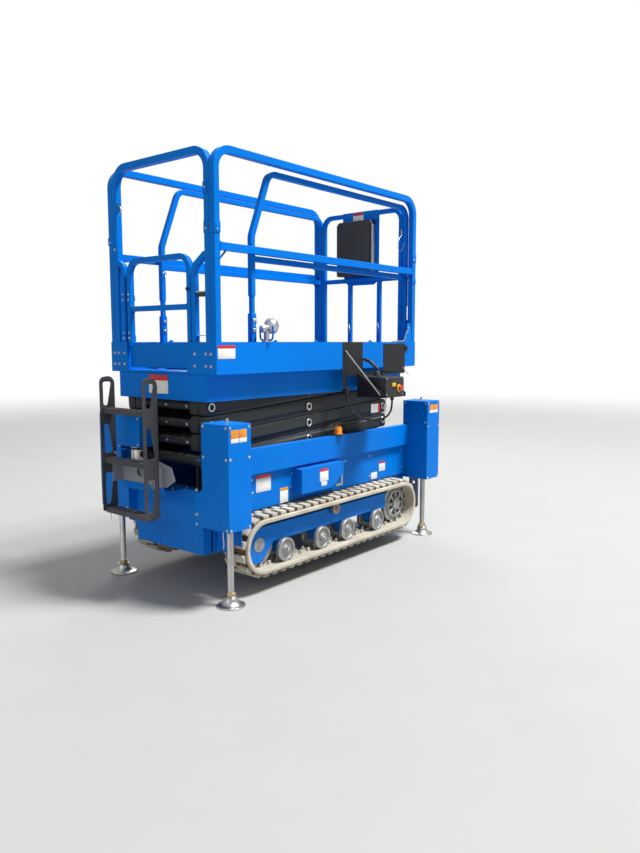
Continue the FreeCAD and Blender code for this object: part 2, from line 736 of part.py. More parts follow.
beam_start, beam_end = jack_x[0] + half_box, jack_x[1] - half_box
beam_bottom = beam_top - beam_height
beam_inner = beam_outer_face - beam_flange
guide_top = first_pin_z - roller_radius - running_gap
web_inner = beam_outer_face - plate
beam = joined([box(beam_start, beam_end, web_inner, beam_outer_face, beam_bottom, beam_top),
               box(beam_start, beam_end, beam_inner, beam_outer_face, beam_top - plate, beam_top),
               box(beam_start, beam_end, beam_inner, beam_outer_face, beam_bottom, beam_bottom + plate),
               box(guide_start, guide_end, outer_low, web_inner, guide_top - guide_plate, guide_top)])
node("side_beam_left", beam)
node("side_beam_right", mirrored(beam))

cover_inner = cover_face - plate
raised = panel([(centre_box_x[0], centre_box_z[0]), (centre_box_x[1] - 120, centre_box_z[0]),
                (centre_box_x[1], centre_box_z[1] - 70), (centre_box_x[1], centre_box_z[1]),
                (centre_box_x[0], centre_box_z[1])], "xz", cover_face, centre_box_depth, 0)
cover = joined([box(beam_start, beam_end, cover_inner, cover_face, cover_bottom, beam_bottom), raised])
node("side_cover_left", cover)
node("side_cover_right", mirrored(cover))

tub_front = cross_member_x + cross_member_depth
tub_rear = 2 * chassis_middle_x - tub_front
floor_top = tub_bottom + plate
wall_inner = tub_half_width - plate
tub_parts = [box(tub_front, tub_rear, -tub_half_width, tub_half_width, tub_bottom, floor_top)]
for x0, x1, top in ((tub_front, beam_start, jack_box_bottom), (beam_start, beam_end, cover_bottom),
                    (beam_end, tub_rear, jack_box_bottom)):
    tub_parts += both(box(x0, x1, wall_inner, tub_half_width, floor_top, top))
tub_parts += both(box(beam_start, beam_end, tub_half_width, cover_face, cover_bottom - plate, cover_bottom))
member_rear = tub_rear + cross_member_depth
cut_y, cut_z = cross_member_cut
half_member = jack_foot_inner_face
member_outline = [(-half_member, tub_bottom), (half_member, tub_bottom),
                  (half_member, cross_member_top - cut_z),
                  (half_member - cut_y, cross_member_top), (cut_y - half_member, cross_member_top),
                  (-half_member, cross_member_top - cut_z)]
for x0 in (cross_member_x, tub_rear):
    tub_parts.append(panel(member_outline, "yz", x0, cross_member_depth))
skirt_line = [(tub_half_width, skirt_outline[0][1]), *skirt_outline, (skirt_outline[-1][0], jack_box_bottom),
              (tub_half_width, jack_box_bottom)]
tub_parts += both(panel(skirt_line, "yz", skirt_x, plate))
for x in carrier_places:
    tub_parts.append(box(x, x + carrier_size, -wall_inner, wall_inner, floor_top, floor_top + carrier_height))
ear_low, ear_high = first_pin_z - 90, first_pin_z + 34
ear = panel([(20, ear_low), (110, ear_low), (100, ear_high), (30, ear_high)], "xz",
            jack_inner_face - ear_thickness, ear_thickness, [0, 0, 24, 24], [(arm_pin_x, first_pin_z, bore)])
node("chassis", *tub_parts, *both(ear))
tube_end = outer_low - 2
tube_parts = [rod((arm_pin_x, -tube_end, first_pin_z), (arm_pin_x, tube_end, first_pin_z), pivot_tube_radius)]
tube_parts += both(box(cross_member_x + 5, tub_front - 5, tube_stand_y, tube_stand_y + tube_stand,
                       cross_member_top, first_pin_z))
node("pivot_tube", joined(tube_parts))
unit_x, unit_y, unit_z = power_unit
unit_bottom = floor_top + carrier_height
node("power_unit", box(power_unit_x, power_unit_x + unit_x, -unit_y / 2, unit_y / 2,
                       unit_bottom, unit_bottom + unit_z))

# tow plates behind the rear jack boxes
rear_face = jack_x[1] + half_box
tow_low, tow_high = tow_z
tow_line = [(tow_inner, tow_low), (tow_outer, tow_low), (tow_outer, tow_high), (tow_inner, tow_high)]
tow_holes = [((tow_inner + tow_outer) / 2, z, radius) for z, radius in tow_bores]
tow = panel(tow_line, "yz", rear_face, tow_thickness, [20, 20, 0, 0], tow_holes)
node("tow_plates", *both(tow))

# tracks
track_inner_face = tub_half_width + track_gap
track_outer_face = track_inner_face + track_width
track_middle = track_outer_face - track_width / 2
belt_radius = wheel_radius + belt_thickness
axle_z = track_clearance + belt_radius + lug_height
sprocket_x = idler_x + wheel_base
loop_length = 2 * wheel_base + 2 * math.pi * belt_radius


def belt_point(s, height):
    """Point at a distance s round the belt's outer line, raised off it by a height."""
    s = s % loop_length
    half_turn = math.pi * belt_radius
    r = belt_radius + height
    if s < wheel_base:
        return idler_x + s, axle_z + r
    s -= wheel_base
    if s < half_turn:
        a = math.pi / 2 - s / belt_radius
        return sprocket_x + r * math.cos(a), axle_z + r * math.sin(a)
    s -= half_turn
    if s < wheel_base:
        return sprocket_x - s, axle_z - r
    s -= wheel_base
    a = -math.pi / 2 - s / belt_radius
    return idler_x + r * math.cos(a), axle_z + r * math.sin(a)


def belt_loop(height):
    """Closed line round the belt, two straights and two half circles, off its outer line by a height."""
    r = belt_radius + height
    top, bottom, y = axle_z + r, axle_z - r, 0
    return Part.Face(Part.Wire([
        Part.LineSegment(V(idler_x, y, top), V(sprocket_x, y, top)).toShape(),
        Part.Arc(V(sprocket_x, y, top), V(sprocket_x + r, y, axle_z), V(sprocket_x, y, bottom)).toShape(),
        Part.LineSegment(V(sprocket_x, y, bottom), V(idler_x, y, bottom)).toShape(),
        Part.Arc(V(idler_x, y, bottom), V(idler_x - r, y, axle_z), V(idler_x, y, top)).toShape()]))


def toothed_loop(shift, length, flank, foot, tip):
    """Closed line round the belt with a tooth at each pitch, between a foot and a tip height."""
    pitch = loop_length / lug_count
    outline = []
    for i in range(lug_count):
        s = (i + shift) * pitch
        for ds, height in ((-length / 2, foot), (flank - length / 2, tip), (length / 2 - flank, tip),
                           (length / 2, foot)):
            outline.append(belt_point(s + ds, height))
    return Part.Face(Part.makePolygon(lift_up(outline + outline[:1], "xz", 0)))


def strip(outer, inner, y0, y1):
    body = outer.extrude(V(0, y1 - y0, 0)).cut(inner.extrude(V(0, y1 - y0, 0)))
    body.translate(V(0, y0, 0))
    return body


inside = belt_thickness / 2
track_parts = [strip(belt_loop(0), belt_loop(-belt_thickness), track_inner_face, track_outer_face)]
for shift, y0, y1 in ((0.0, track_inner_face + belt_edge, track_middle),
                      (0.5, track_middle, track_outer_face - belt_edge)):
    lugs = toothed_loop(shift, lug_width, lug_flank, -lug_flank, lug_height)
    track_parts.append(strip(lugs, belt_loop(-inside), y0, y1))
for y0 in (track_middle + tooth_inner, track_middle - tooth_inner - tooth_width):
    teeth = toothed_loop(0.25, tooth_length, tooth_length / 4, -inside, -belt_thickness - tooth_height)
    track_parts.append(strip(belt_loop(-inside), teeth, y0, y0 + tooth_width))
track = joined(track_parts)
node("track_left", track)
node("track_right", mirrored(track))

belt_floor = axle_z - wheel_radius
roller_z = belt_floor + bottom_roller_radius + running_gap
disc_inner = roller_disc_gap / 2
disc_outer = disc_inner + roller_disc
rim_inner = bottom_roller_radius - roller_rim
dish_face = disc_outer - roller_dish
disc_profile = [(0, disc_inner), (bottom_roller_radius, disc_inner), (bottom_roller_radius, disc_outer),
                (rim_inner, disc_outer), (rim_inner - 4, dish_face), (roller_hub + 6, dish_face),
                (roller_hub, disc_outer + roller_cap), (0, disc_outer + roller_cap)]
rollers = []
for x in roller_places:
    discs = []
    for side in (1, -1):
        points = [V(x + r, track_middle + side * y, roller_z) for r, y in disc_profile]
        discs.append(turned(points, V(x, 0, roller_z), V(0, 1, 0)))
    axle = rod((x, track_middle - disc_inner - 1, roller_z), (x, track_middle + disc_inner + 1, roller_z),
               roller_axle_radius)
    rollers.append(joined(discs + [axle]))
top_z = axle_z + wheel_radius - top_roller_radius - running_gap
half_beam = track_beam_width / 2
top_start = track_middle + half_beam + plate
wheel_start = top_start + 2
wheel_end = wheel_start + top_roller_width
rollers.append(joined([
    rod((top_roller_x, wheel_start, top_z), (top_roller_x, wheel_end, top_z), top_roller_radius),
    rod((top_roller_x, top_start, top_z), (top_roller_x, wheel_end + 4, top_z), top_axle_radius)]))
node("rollers_left", *rollers)
node("rollers_right", *[mirrored(r) for r in rollers])


def ring(x, inner, outer, y0, y1):
    whole = rod((x, track_middle + y0, axle_z), (x, track_middle + y1, axle_z), outer)
    return whole.cut(rod((x, track_middle + y0, axle_z), (x, track_middle + y1, axle_z), inner))


wheel_outer = wheel_radius - running_gap
hub_reach = half_beam + 3


def wheel_rod(x, reach, radius):
    return rod((x, track_middle - reach, axle_z), (x, track_middle + reach, axle_z), radius)


idler = joined([wheel_rod(idler_x, wheel_half, wheel_outer), wheel_rod(idler_x, hub_reach, wheel_hub_radius)])
rim_low, rim_high = sprocket_rim
sprocket_parts = [ring(sprocket_x, wheel_outer - ring_depth, wheel_outer, -wheel_half, wheel_half),
                  ring(sprocket_x, rim_low, rim_high, -wheel_half, spoke_face),
                  wheel_rod(sprocket_x, hub_reach, wheel_hub_radius)]
for i in range(spoke_count):
    spoke = box(sprocket_x, sprocket_x + rim_low + 2, track_middle - wheel_half, track_middle + spoke_face,
                axle_z - spoke_half, axle_z + spoke_half)
    spoke.rotate(V(sprocket_x, 0, axle_z), V(0, 1, 0), 360 * i / spoke_count)
    sprocket_parts.append(spoke)
sprocket = joined(sprocket_parts)
for name, shape in (("idler", idler), ("sprocket", sprocket)):
    node(name + "_left", shape)
    node(name + "_right", mirrored(shape))

low, high = track_beam_z
fork_low = axle_z - fork_reach
outline = [(idler_x - fork_reach, fork_low), (idler_x + 20, fork_low), (idler_x + fork_reach + 10, low)]
corner_radii = [fork_reach - 5, 0, 0]
hanger_low = roller_z - hanger_half
for x in roller_places:
    outline += [(x - hanger_half, low), (x - hanger_half, hanger_low), (x + hanger_half, hanger_low),
                (x + hanger_half, low)]
    corner_radii += [0, hanger_half - 1, hanger_half - 1, 0]
outline += [(sprocket_x - fork_reach - 10, low), (sprocket_x - 20, fork_low),
            (sprocket_x + fork_reach, fork_low),
            (sprocket_x + fork_reach, high), (idler_x - fork_reach, high)]
corner_radii += [0, 0, fork_reach - 5, fork_reach - 10, fork_reach - 10]
axle_holes = [(x, roller_z, roller_axle_radius + running_gap) for x in roller_places]
axle_holes += [(x, axle_z, wheel_hub_radius + running_gap) for x in (idler_x, sprocket_x)]
beam_body = panel(outline, "xz", track_middle - half_beam, track_beam_width, corner_radii, axle_holes)
slot_reach = wheel_radius + 9
half_slot = fork_slot / 2
beam_body = beam_body.cut(box(idler_x - slot_reach, idler_x + slot_reach, track_middle - half_slot,
                              track_middle + half_slot, 0, high + 1))
beam_body = beam_body.cut(box(sprocket_x - slot_reach, sprocket_x + slot_reach, track_middle - half_slot,
                              track_middle + half_beam + 1, 0, high + 1))
beam_parts = [beam_body, box(top_roller_x - 22, top_roller_x + 22, track_middle + half_beam,
                             track_middle + half_beam + plate, high - 40, top_z + top_axle_radius + 6)]
for x in carrier_places:
    beam_parts.append(box(x, x + carrier_size, tub_half_width, track_middle - half_beam,
                          floor_top, floor_top + carrier_height))
track_frame = joined(beam_parts)
node("track_frame_left", track_frame)
node("track_frame_right", mirrored(track_frame))

# ladder and its bracket
side_shape = []
ladder_rear = ladder_front + ladder_depth
for sign in (-1, 1):
    y = ladder_middle_y + sign * ladder_half_width
    y0 = y if sign > 0 else y - ladder_plate
    plate_shape = panel([(ladder_front, ladder_bottom), (ladder_rear, ladder_bottom),
                         (ladder_rear, ladder_top),
                         (ladder_front, ladder_top - 10)], "xz", y0, ladder_plate, [10, 10, 40, 30])
    narrow, wide = window_widths
    x0 = ladder_front + window_front
    for z0, z1, wide_below in windows:
        low_width, high_width = (wide, narrow) if wide_below else (narrow, wide)
        window = panel([(x0, z0), (x0 + low_width, z0), (x0 + high_width, z1), (x0, z1)],
                       "xz", y0 - 1, ladder_plate + 2, narrow / 2 - 1)
        plate_shape = plate_shape.cut(window)
    side_shape.append(plate_shape)
for z in rung_heights:
    rung_x = ladder_front + rung_set_back
    side_shape.append(box(rung_x, rung_x + rung_depth, ladder_middle_y - ladder_half_width,
                          ladder_middle_y + ladder_half_width, z - rung_half, z + rung_half))
node("ladder", joined(side_shape))

shelf_z = cross_member_top
bracket_front = ladder_rear - 30
left_in = ladder_middle_y + ladder_half_width
right_in = ladder_middle_y - ladder_half_width
web_x = -shelf_reach
shelf_lip = 25.0
web_height = 140.0
web_outline = [(left_in, shelf_z + shelf_lip + web_height - 25), (left_in, shelf_z + shelf_lip), *bracket_wing]
bracket_parts = [panel(web_outline, "yz", web_x, plate)]
for y0 in (left_in - plate, right_in):
    bracket_parts.append(box(bracket_front, web_x + plate, y0, y0 + plate,
                             shelf_z + shelf_lip, shelf_z + web_height - 15))
web = joined(bracket_parts)
for y, z, r in bracket_hole_places:
    web = web.cut(rod((web_x - 1, y, z), (web_x + plate + 1, y, z), r))
node("ladder_bracket", web)
node("end_shelf", joined([box(web_x, cross_member_x, right_in, left_in, shelf_z - plate, shelf_z),
                          box(web_x, web_x + plate, right_in, left_in, shelf_z - 15, shelf_z + shelf_lip)]))
motor_parts = []
for height, radius in ((motor_height, motor_radius), (motor_flange, motor_radius + 5)):
    motor_parts.append(rod((motor_x, motor_y, shelf_z), (motor_x, motor_y, shelf_z + height), radius))
node("pump_motor", joined(motor_parts))
node("motor_cover", box(*cover_box_x, *cover_box_y, shelf_z + motor_height, cover_box_top))

# beacon on the right side beam
beacon_y = -beam_outer_face + beacon_inset
beacon_parts = []
for z0, z1, radius in beacon_steps:
    beacon_parts.append(rod((beacon_x, beacon_y, beam_top + z0), (beacon_x, beacon_y, beam_top + z1), radius))
node("beacon", joined(beacon_parts))

# control bracket, box and cable on the right toe board
face_y = -half_platform
back_y = face_y - bracket_sheet
left0, left1 = bracket_left_x
right0, right1 = bracket_right_x
box0, box1 = control_x
box_floor, box_top = control_z
bar_low, bar_high = bracket_bar
leg_width, leg_low = bracket_leg
shelf_low = box_floor - 4
shelf_end = face_y - control_reach
bracket_parts = [box(left0, left1, back_y, face_y, bar_high, toe_top),
                 box(right0, right1, back_y, face_y, bar_low, toe_top - 12),
                 box(left0, left0 + leg_width, back_y, face_y, leg_low, bar_high),
                 box(left0, right1, back_y, face_y, bar_low, bar_high),
                 box(box0 - shelf_margin, box1 + shelf_margin, shelf_end, face_y, shelf_low, box_floor),
                 box(box0 - shelf_margin, box1 + shelf_margin, back_y, face_y, shelf_low, bar_high)]
cheek = [(face_y, bar_high), (face_y, shelf_low), (shelf_end, shelf_low), (shelf_end, box_floor + 22)]
for x in (box0 - shelf_margin, box1 + shelf_margin - bracket_sheet):
    bracket_parts.append(panel(cheek, "yz", x, bracket_sheet))
bracket_parts.append(rod(*stay, stay_radius))
cable_out, cable_in = cable_route[0], cable_route[-1]
tab_half_width, tab_thickness = cable_tab
tab_low = cable_out[2] + tab_half_width
bracket_parts.append(box(cable_out[0] - tab_half_width, cable_out[0] + tab_half_width,
                         cable_out[1] - tab_half_width, back_y, tab_low, tab_low + tab_thickness))
bracket_parts.append(rod(cable_out, (cable_out[0], cable_out[1], tab_low + tab_thickness), gland_radius))
bracket_parts.append(rod(cable_in, (cable_in[0], cable_in[1], shelf_low), gland_radius))
node("control_bracket", joined(bracket_parts))
control = panel([(back_y, box_floor), (shelf_end, box_floor), (shelf_end, box_top - 6), (back_y, box_top)],
                "yz", box0, box1 - box0, [0, 5, 10, 0])
stalk_parts = [rod(a, b, stalk_radius) for a, b in zip(stalk, stalk[1:])]
stalk_parts += [Part.makeSphere(stalk_radius, V(*point)) for point in stalk[1:-1]]
node("control_box", joined([control] + stalk_parts))

# lamp on the right toe board
lean = V(*lamp_lean).normalize()
across = V(0, 1, 0)
lamp_points = [V(*lamp_start) + lean * t + across * r for t, r in lamp_profile]
lamp = turned(lamp_points, V(*lamp_start), lean)
stand0, stand1 = lamp_stand_x
stand_y = lamp_start[1]
lamp_stand = joined([box(stand0, stand1, stand_y - 10, stand_y + 10, toe_top + 8, lamp_start[2] - 8),
                     box(stand0 - 14, stand1 + 14, -half_platform, stand_y + 12, toe_top, toe_top + 8)])
node("work_lamp", joined([lamp, lamp_stand]))


def cable(points, radius):
    """Round cord along straight runs joined by tangent arcs, with each arc as large as its runs allow."""
    spots = [V(*p) for p in points]
    edges = []
    here = spots[0]
    printed = []
    for before, corner, after in zip(spots, spots[1:], spots[2:]):
        u, w = (before - corner).normalize(), (after - corner).normalize()
        half_turn = (math.pi - u.getAngle(w)) / 2
        run = min((before - corner).Length, (after - corner).Length)
        bend = 0.45 * run / math.tan(half_turn)
        printed.append(round(bend))
        reach = 0.45 * run
        centre = corner + (u + w).normalize() * (bend / math.cos(half_turn))
        middle = centre + (corner - centre).normalize() * bend
        edges.append(Part.LineSegment(here, corner + u * reach).toShape())
        edges.append(Part.Arc(corner + u * reach, middle, corner + w * reach).toShape())
        here = corner + w * reach
    edges.append(Part.LineSegment(here, spots[-1]).toShape())
    path = Part.Wire(edges)
    ring = Part.Wire(Part.makeCircle(radius, spots[0], spots[1] - spots[0]))
    tube = path.makePipeShell([ring], True, False)
    print("cable bend radii", printed, "length", round(path.Length), "volume ratio",
          round(tube.Volume / (math.pi * radius ** 2 * path.Length), 4))
    return tube


node("control_cable", cable(cable_route, cable_radius))

# move everything so that the origin is under the middle of the machine, and write the pieces
front_reach = ladder_front
rear_reach = rear_face + tow_thickness
right_reach = half_platform + control_reach
shift = V(-(front_reach + rear_reach) / 2, (right_reach - jack_outer_face) / 2, 0)
os.makedirs("parts", exist_ok=True)
for name, shape in nodes.items():
    shape.translate(shift)
    if not shape.isValid():
        print("not valid:", name)
    shape.exportStep("parts/%s.step" % name)
print("pieces", len(nodes), "moved by", shift)
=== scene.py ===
import json
import math
import bpy
import bmesh
from mathutils import Matrix, Vector


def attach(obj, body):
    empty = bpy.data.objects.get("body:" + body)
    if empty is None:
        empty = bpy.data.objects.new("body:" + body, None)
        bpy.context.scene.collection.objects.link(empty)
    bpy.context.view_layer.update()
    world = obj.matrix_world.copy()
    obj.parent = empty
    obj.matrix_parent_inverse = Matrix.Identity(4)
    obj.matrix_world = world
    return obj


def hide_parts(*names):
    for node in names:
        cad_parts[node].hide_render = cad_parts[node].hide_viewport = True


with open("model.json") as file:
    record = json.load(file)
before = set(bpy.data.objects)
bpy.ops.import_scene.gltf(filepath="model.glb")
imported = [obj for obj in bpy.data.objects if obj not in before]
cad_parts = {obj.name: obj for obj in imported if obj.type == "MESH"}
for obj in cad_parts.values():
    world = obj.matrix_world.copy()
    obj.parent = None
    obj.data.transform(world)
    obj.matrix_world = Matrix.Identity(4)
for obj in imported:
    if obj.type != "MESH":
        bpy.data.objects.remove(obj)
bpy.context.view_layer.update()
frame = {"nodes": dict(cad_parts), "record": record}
scene = bpy.context.scene
scene.view_settings.view_transform = "Standard"
record = frame["record"]
bodyOf = {node: body for body, nodes in record["behaviour"]["bodies"].items() for node in nodes}
slotOf = {part["node"]: part["material_slot"] for part in record["subparts"]}
shift = Vector((-0.8865, 0.050, 0.0))     # from the platform's ladder end and the machine's middle to the origin
facings = {"front": (-1, 0, 0), "rear": (1, 0, 0), "right": (0, -1, 0), "left": (0, 1, 0), "up": (0, 0, 1),
           "down": (0, 0, -1)}
print("frame loaded:", len(bodyOf), "nodes")

# camera at the photograph's place: yaw turns from +Y towards +X
cameraView = {"place": (-3.3645, -3.054, 1.345), "yaw": 50.79, "down": 6.59, "focalPixels": 736.15,
              "imageHeight": 853, "filmHeight": 36.0}


def makeCamera(view):
    data = bpy.data.cameras.new("photoCamera")
    data.sensor_fit = "VERTICAL"
    data.sensor_height = view["filmHeight"]
    data.lens = view["focalPixels"] / view["imageHeight"] * view["filmHeight"]
    camera = bpy.data.objects.new("photoCamera", data)
    camera.location = view["place"]
    camera.rotation_euler = (math.radians(90 - view["down"]), 0, math.radians(-view["yaw"]))
    scene.collection.objects.link(camera)
    scene.camera = camera


makeCamera(cameraView)


# objects and meshes

creaseAngle = 35     # degrees between faces, from which an edge is shaded sharp
slotFor = {"bluePaint": "blue_paint", "blackPaint": "black_paint", "charcoalPaint": "charcoal",
           "zincPlate": "zinc", "brassZinc": "zinc", "rustyIron": "zinc", "paleMetal": "pale_metal",
           "chromeSteel": "pale_metal", "blackPlastic": "black_plastic", "redPlastic": "orange_lens",
           "yellowPlastic": "orange_lens", "whiteFilm": "light_grey"}


def place(name, mesh, body, node=None):
    # a piece is attached to its body; a piece that stands for a CAD node hides that node
    piece = bpy.data.objects.new(name, mesh)
    scene.collection.objects.link(piece)
    finish = next(material for material in mesh.materials if material)
    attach(piece, body)
    slotOf[node] if node else slotFor[finish.name]
    if node:
        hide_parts(node)


def shaded(mesh, angle=creaseAngle):
    mesh.polygons.foreach_set("use_smooth", [True] * len(mesh.polygons))
    mesh.set_sharp_from_angle(angle=math.radians(angle))
    return mesh


def toMesh(shape, name, finishes):
    mesh = bpy.data.meshes.new(name)
    shape.to_mesh(mesh)
    shape.free()
    for finish in finishes:
        mesh.materials.append(finish)
    return shaded(mesh)


# cord: the control lead, with the points of its route as the CAD has them
controlLead = {"radius": 0.006,
               "points": ((1.030, -0.450, 1.046), (1.030, -0.450, 0.990), (1.056, -0.468, 0.926),
                          (1.122, -0.496, 0.880), (1.205, -0.524, 0.862), (1.285, -0.546, 0.870),
                          (1.330, -0.556, 0.898), (1.350, -0.560, 0.938), (1.350, -0.560, 0.982))}


def splineOf(points, radius):
    # the points carry the radius, so that the curve's bounds stay true
    data = bpy.data.curves.new("leadLine", "CURVE")
    data.dimensions = "3D"
    spline = data.splines.new("NURBS")
    spline.points.add(len(points) - 1)
    for knot, point in zip(spline.points, points):
        knot.co, knot.radius = (*point, 1), radius
    spline.order_u = 3
    spline.use_endpoint_u = True
    data.resolution_u = 12
    data.bevel_depth = 1.0 if radius else 0.0
    data.bevel_resolution = 4
    return data


def curveLength(data):
    holder = bpy.data.objects.new("holder", data)
    scene.collection.objects.link(holder)
    graph = bpy.context.evaluated_depsgraph_get()
    line = bpy.data.meshes.new_from_object(holder.evaluated_get(graph))
    spots = [v.co.copy() for v in line.vertices]
    bpy.data.objects.remove(holder)
    return sum((b - a).length for a, b in zip(spots, spots[1:]))


leadPoints = [Vector(point) + shift for point in controlLead["points"]]
leadLength = curveLength(splineOf(leadPoints, 0))
leadCurve = splineOf(leadPoints, controlLead["radius"])
lead = bpy.data.objects.new("controlLead", leadCurve)
scene.collection.objects.link(lead)
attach(lead, "platform")
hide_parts("control_cable")
tuple(leadPoints[0])
print("camera and lead made, lead length", round(leadLength, 3))


# shader maths: a Wire is a socket that can be used in an expression

class Wire:
    def __init__(self, tree, socket):
        self.tree, self.socket = tree, socket

    def maths(self, operation, *values):
        return add(self.tree, "ShaderNodeMath", {"operation": operation}, dict(enumerate(values)))

    def alone(self, operation):
        return self.maths(operation, self)

    def __add__(self, other):
        return self.maths("ADD", self, other)

    def __radd__(self, other):
        return self.maths("ADD", other, self)

    def __sub__(self, other):
        return self.maths("SUBTRACT", self, other)

    def __rsub__(self, other):
        return self.maths("SUBTRACT", other, self)

    def __mul__(self, other):
        return self.maths("MULTIPLY", self, other)

    def __rmul__(self, other):
        return self.maths("MULTIPLY", other, self)

    def __truediv__(self, other):
        return self.maths("DIVIDE", self, other)

    def __pow__(self, other):
        return self.maths("POWER", self, other)

    def other(self, name):
        return Wire(self.tree, self.socket.node.outputs[name])

    def clamped(self):
        return add(self.tree, "ShaderNodeClamp", {}, {"Value": self})

    def band(self, low, high):
        # 0 below low, 1 above high
        return add(self.tree, "ShaderNodeMapRange", {"interpolation_type": "SMOOTHSTEP"},
                   {"Value": self, "From Min": low, "From Max": high})


def add(tree, kind, settings, values, out=0):
    node = tree.nodes.new(kind)
    for key, value in settings.items():
        setattr(node, key, value)
    for key, value in values.items():
        socket = node.inputs[key]
        if isinstance(value, Wire):
            tree.links.new(value.socket, socket)
        elif socket.type == "RGBA" and len(value) == 3:
            socket.default_value = (*value, 1)
        else:
            socket.default_value = value
    return Wire(tree, node.outputs[out])


class Finish:
    def __init__(self, name):
        self.material = bpy.data.materials.new(name)
        self.material.use_nodes = True
        self.tree = self.material.node_tree
        self.tree.nodes.clear()
        self.shader = self.tree.nodes.new("ShaderNodeBsdfPrincipled")
        output = self.tree.nodes.new("ShaderNodeOutputMaterial")
        self.tree.links.new(self.shader.outputs[0], output.inputs[0])
        self.spot = self.add("ShaderNodeTexCoord", {}, {}, "Object")

    def add(self, kind, settings, values, out=0):
        return add(self.tree, kind, settings, values, out)

    def noise(self, scale, detail, rough=0.5, stretch=None):
        spot = self.spot
        if stretch:
            spot = self.add("ShaderNodeMapping", {}, {"Vector": spot, "Scale": stretch})
        return self.add("ShaderNodeTexNoise", {},
                        {"Vector": spot, "Scale": scale, "Detail": detail, "Roughness": rough})

    def mix(self, mask, first, second):
        return self.add("ShaderNodeMix", {"data_type": "RGBA"}, {0: mask, 6: first, 7: second}, 2)

    def attribute(self, name):
        return self.add("ShaderNodeAttribute", {"attribute_name": name}, {}, "Fac")

    def axis(self, wire, letter):
        return self.add("ShaderNodeSeparateXYZ", {}, {0: wire}, letter)

    def upward(self):
        return self.axis(self.add("ShaderNodeTexCoord", {}, {}, "Normal"), "Z")

    def height(self):
        return self.axis(self.spot, "Z")

    def bump(self, wire, distance, strength):
        return self.add("ShaderNodeBump", {}, {"Height": wire, "Distance": distance, "Strength": strength})

    def set(self, **sockets):
        names = {"colour": "Base Color", "rough": "Roughness", "metal": "Metallic", "normal": "Normal",
                 "coat": "Coat Weight", "specular": "Specular IOR Level", "glow": "Emission Color",
                 "glowStrength": "Emission Strength"}
        for key, value in sockets.items():
            socket = self.shader.inputs[names[key]]
            if isinstance(value, Wire):
                self.tree.links.new(value.socket, socket)
            elif socket.type == "RGBA":
                socket.default_value = (*value, 1)
            else:
                socket.default_value = value
        return self.material


def toned(colour, share, more=0.0):
    return tuple(c * share + more for c in colour)


def paint(name, colour, settings):
    # sprayed coat: cloudy tone, dust on what faces up and near the ground, worn edges, orange peel, and for a
    # deck a raised tread pattern
    skin = Finish(name)
    cloud = skin.noise(settings["cloudScale"], 2).band(0.35, 0.7)
    speck = skin.noise(settings["speckScale"], 4)
    tone = skin.mix(cloud * 0.7 + speck * 0.25, toned(colour, settings["shadeTone"]), colour)
    grit = skin.noise(settings["gritScale"], 6, 0.7)
    ground = 1 - skin.height().band(settings["dustLow"], settings["dustHigh"])
    settled = skin.upward().band(0.5, 0.95) * grit.band(0.35, 0.75) * settings["dustTop"]
    splashed = ground * grit.band(0.42, 0.72) * settings["dustSplash"]
    dust = (settled + splashed).clamped()
    tone = skin.mix(dust, tone, settings["dust"])
    scratched = skin.noise(settings["scuffScale"], 5, 0.65, settings["scuffStretch"]).band(0.62, 0.7)
    scuffs = scratched * speck.band(0.5, 0.62) * settings["scuffs"]
    tone = skin.mix(scuffs, tone, toned(colour, 0.55, 0.12))
    chipped = skin.noise(settings["chipScale"], 5, 0.7).band(settings["chipFrom"], settings["chipFrom"] + 0.06)
    chips = skin.attribute("edgeWear") * chipped
    tone = skin.mix(chips, tone, settings["chip"])
    rough = settings["rough"] + dust * 0.35 + chips * 0.2 + speck * 0.06
    relief, depth = skin.noise(settings["peel"], 2) + chips * -0.6, settings["peelDepth"]
    if "tread" in settings:
        along, across = [(skin.axis(skin.spot, letter) * settings["tread"]).alone("SINE") for letter in "XY"]
        bars = (along * across).band(0.3, 0.5) * skin.upward().band(0.9, 0.99)
        relief, depth = relief * 0.15 + bars, settings["treadDepth"]
        tone = skin.mix(bars * grit.band(0.4, 0.6) * 0.4, tone, settings["dust"])
    return skin.set(colour=tone, rough=rough.clamped(), specular=settings["specular"],
                    normal=skin.bump(relief, depth, settings["peelStrength"]))


# heights and depths in metres; a scale is about the number of features to a metre
paintBase = {"cloudScale": 2.2, "speckScale": 70, "shadeTone": 0.86, "gritScale": 26,
             "dust": (0.42, 0.37, 0.29), "dustLow": 0.05, "dustHigh": 0.62, "dustTop": 0.35, "dustSplash": 0.3,
             "scuffs": 0.35, "scuffScale": 9, "scuffStretch": (1, 1, 6), "chip": (0.10, 0.11, 0.12),
             "chipFrom": 0.6, "chipScale": 55, "rough": 0.26, "specular": 0.3, "peel": 260.0,
             "peelDepth": 0.0004, "peelStrength": 0.25, "treadDepth": 0.0012}
blueTone = (0.0004, 0.180, 0.69)
blueBase = {**paintBase, "dust": (0.20, 0.23, 0.27), "dustTop": 0.12, "dustSplash": 0.2, "scuffs": 0.2,
            "rough": 0.3, "specular": 0.07}
satinBase = {**paintBase, "peel": 700.0, "peelStrength": 0.5}
bluePaint = paint("bluePaint", blueTone, blueBase)
treadPaint = paint("blueTread", blueTone, {**blueBase, "tread": 150.0, "dust": (0.17, 0.21, 0.25), "dustTop": 0.4,
                                           "peelStrength": 0.8})
charcoalPaint = paint("charcoalPaint", (0.029, 0.034, 0.037),
                      {**satinBase, "rough": 0.42, "dustTop": 0.5, "specular": 0.22, "chip": (0.22, 0.22, 0.21),
                       "chipFrom": 0.58})
ladderPaint = paint("ladderPaint", (0.062, 0.064, 0.068),
                    {**satinBase, "rough": 0.5, "chip": (0.24, 0.23, 0.21), "specular": 0.25})
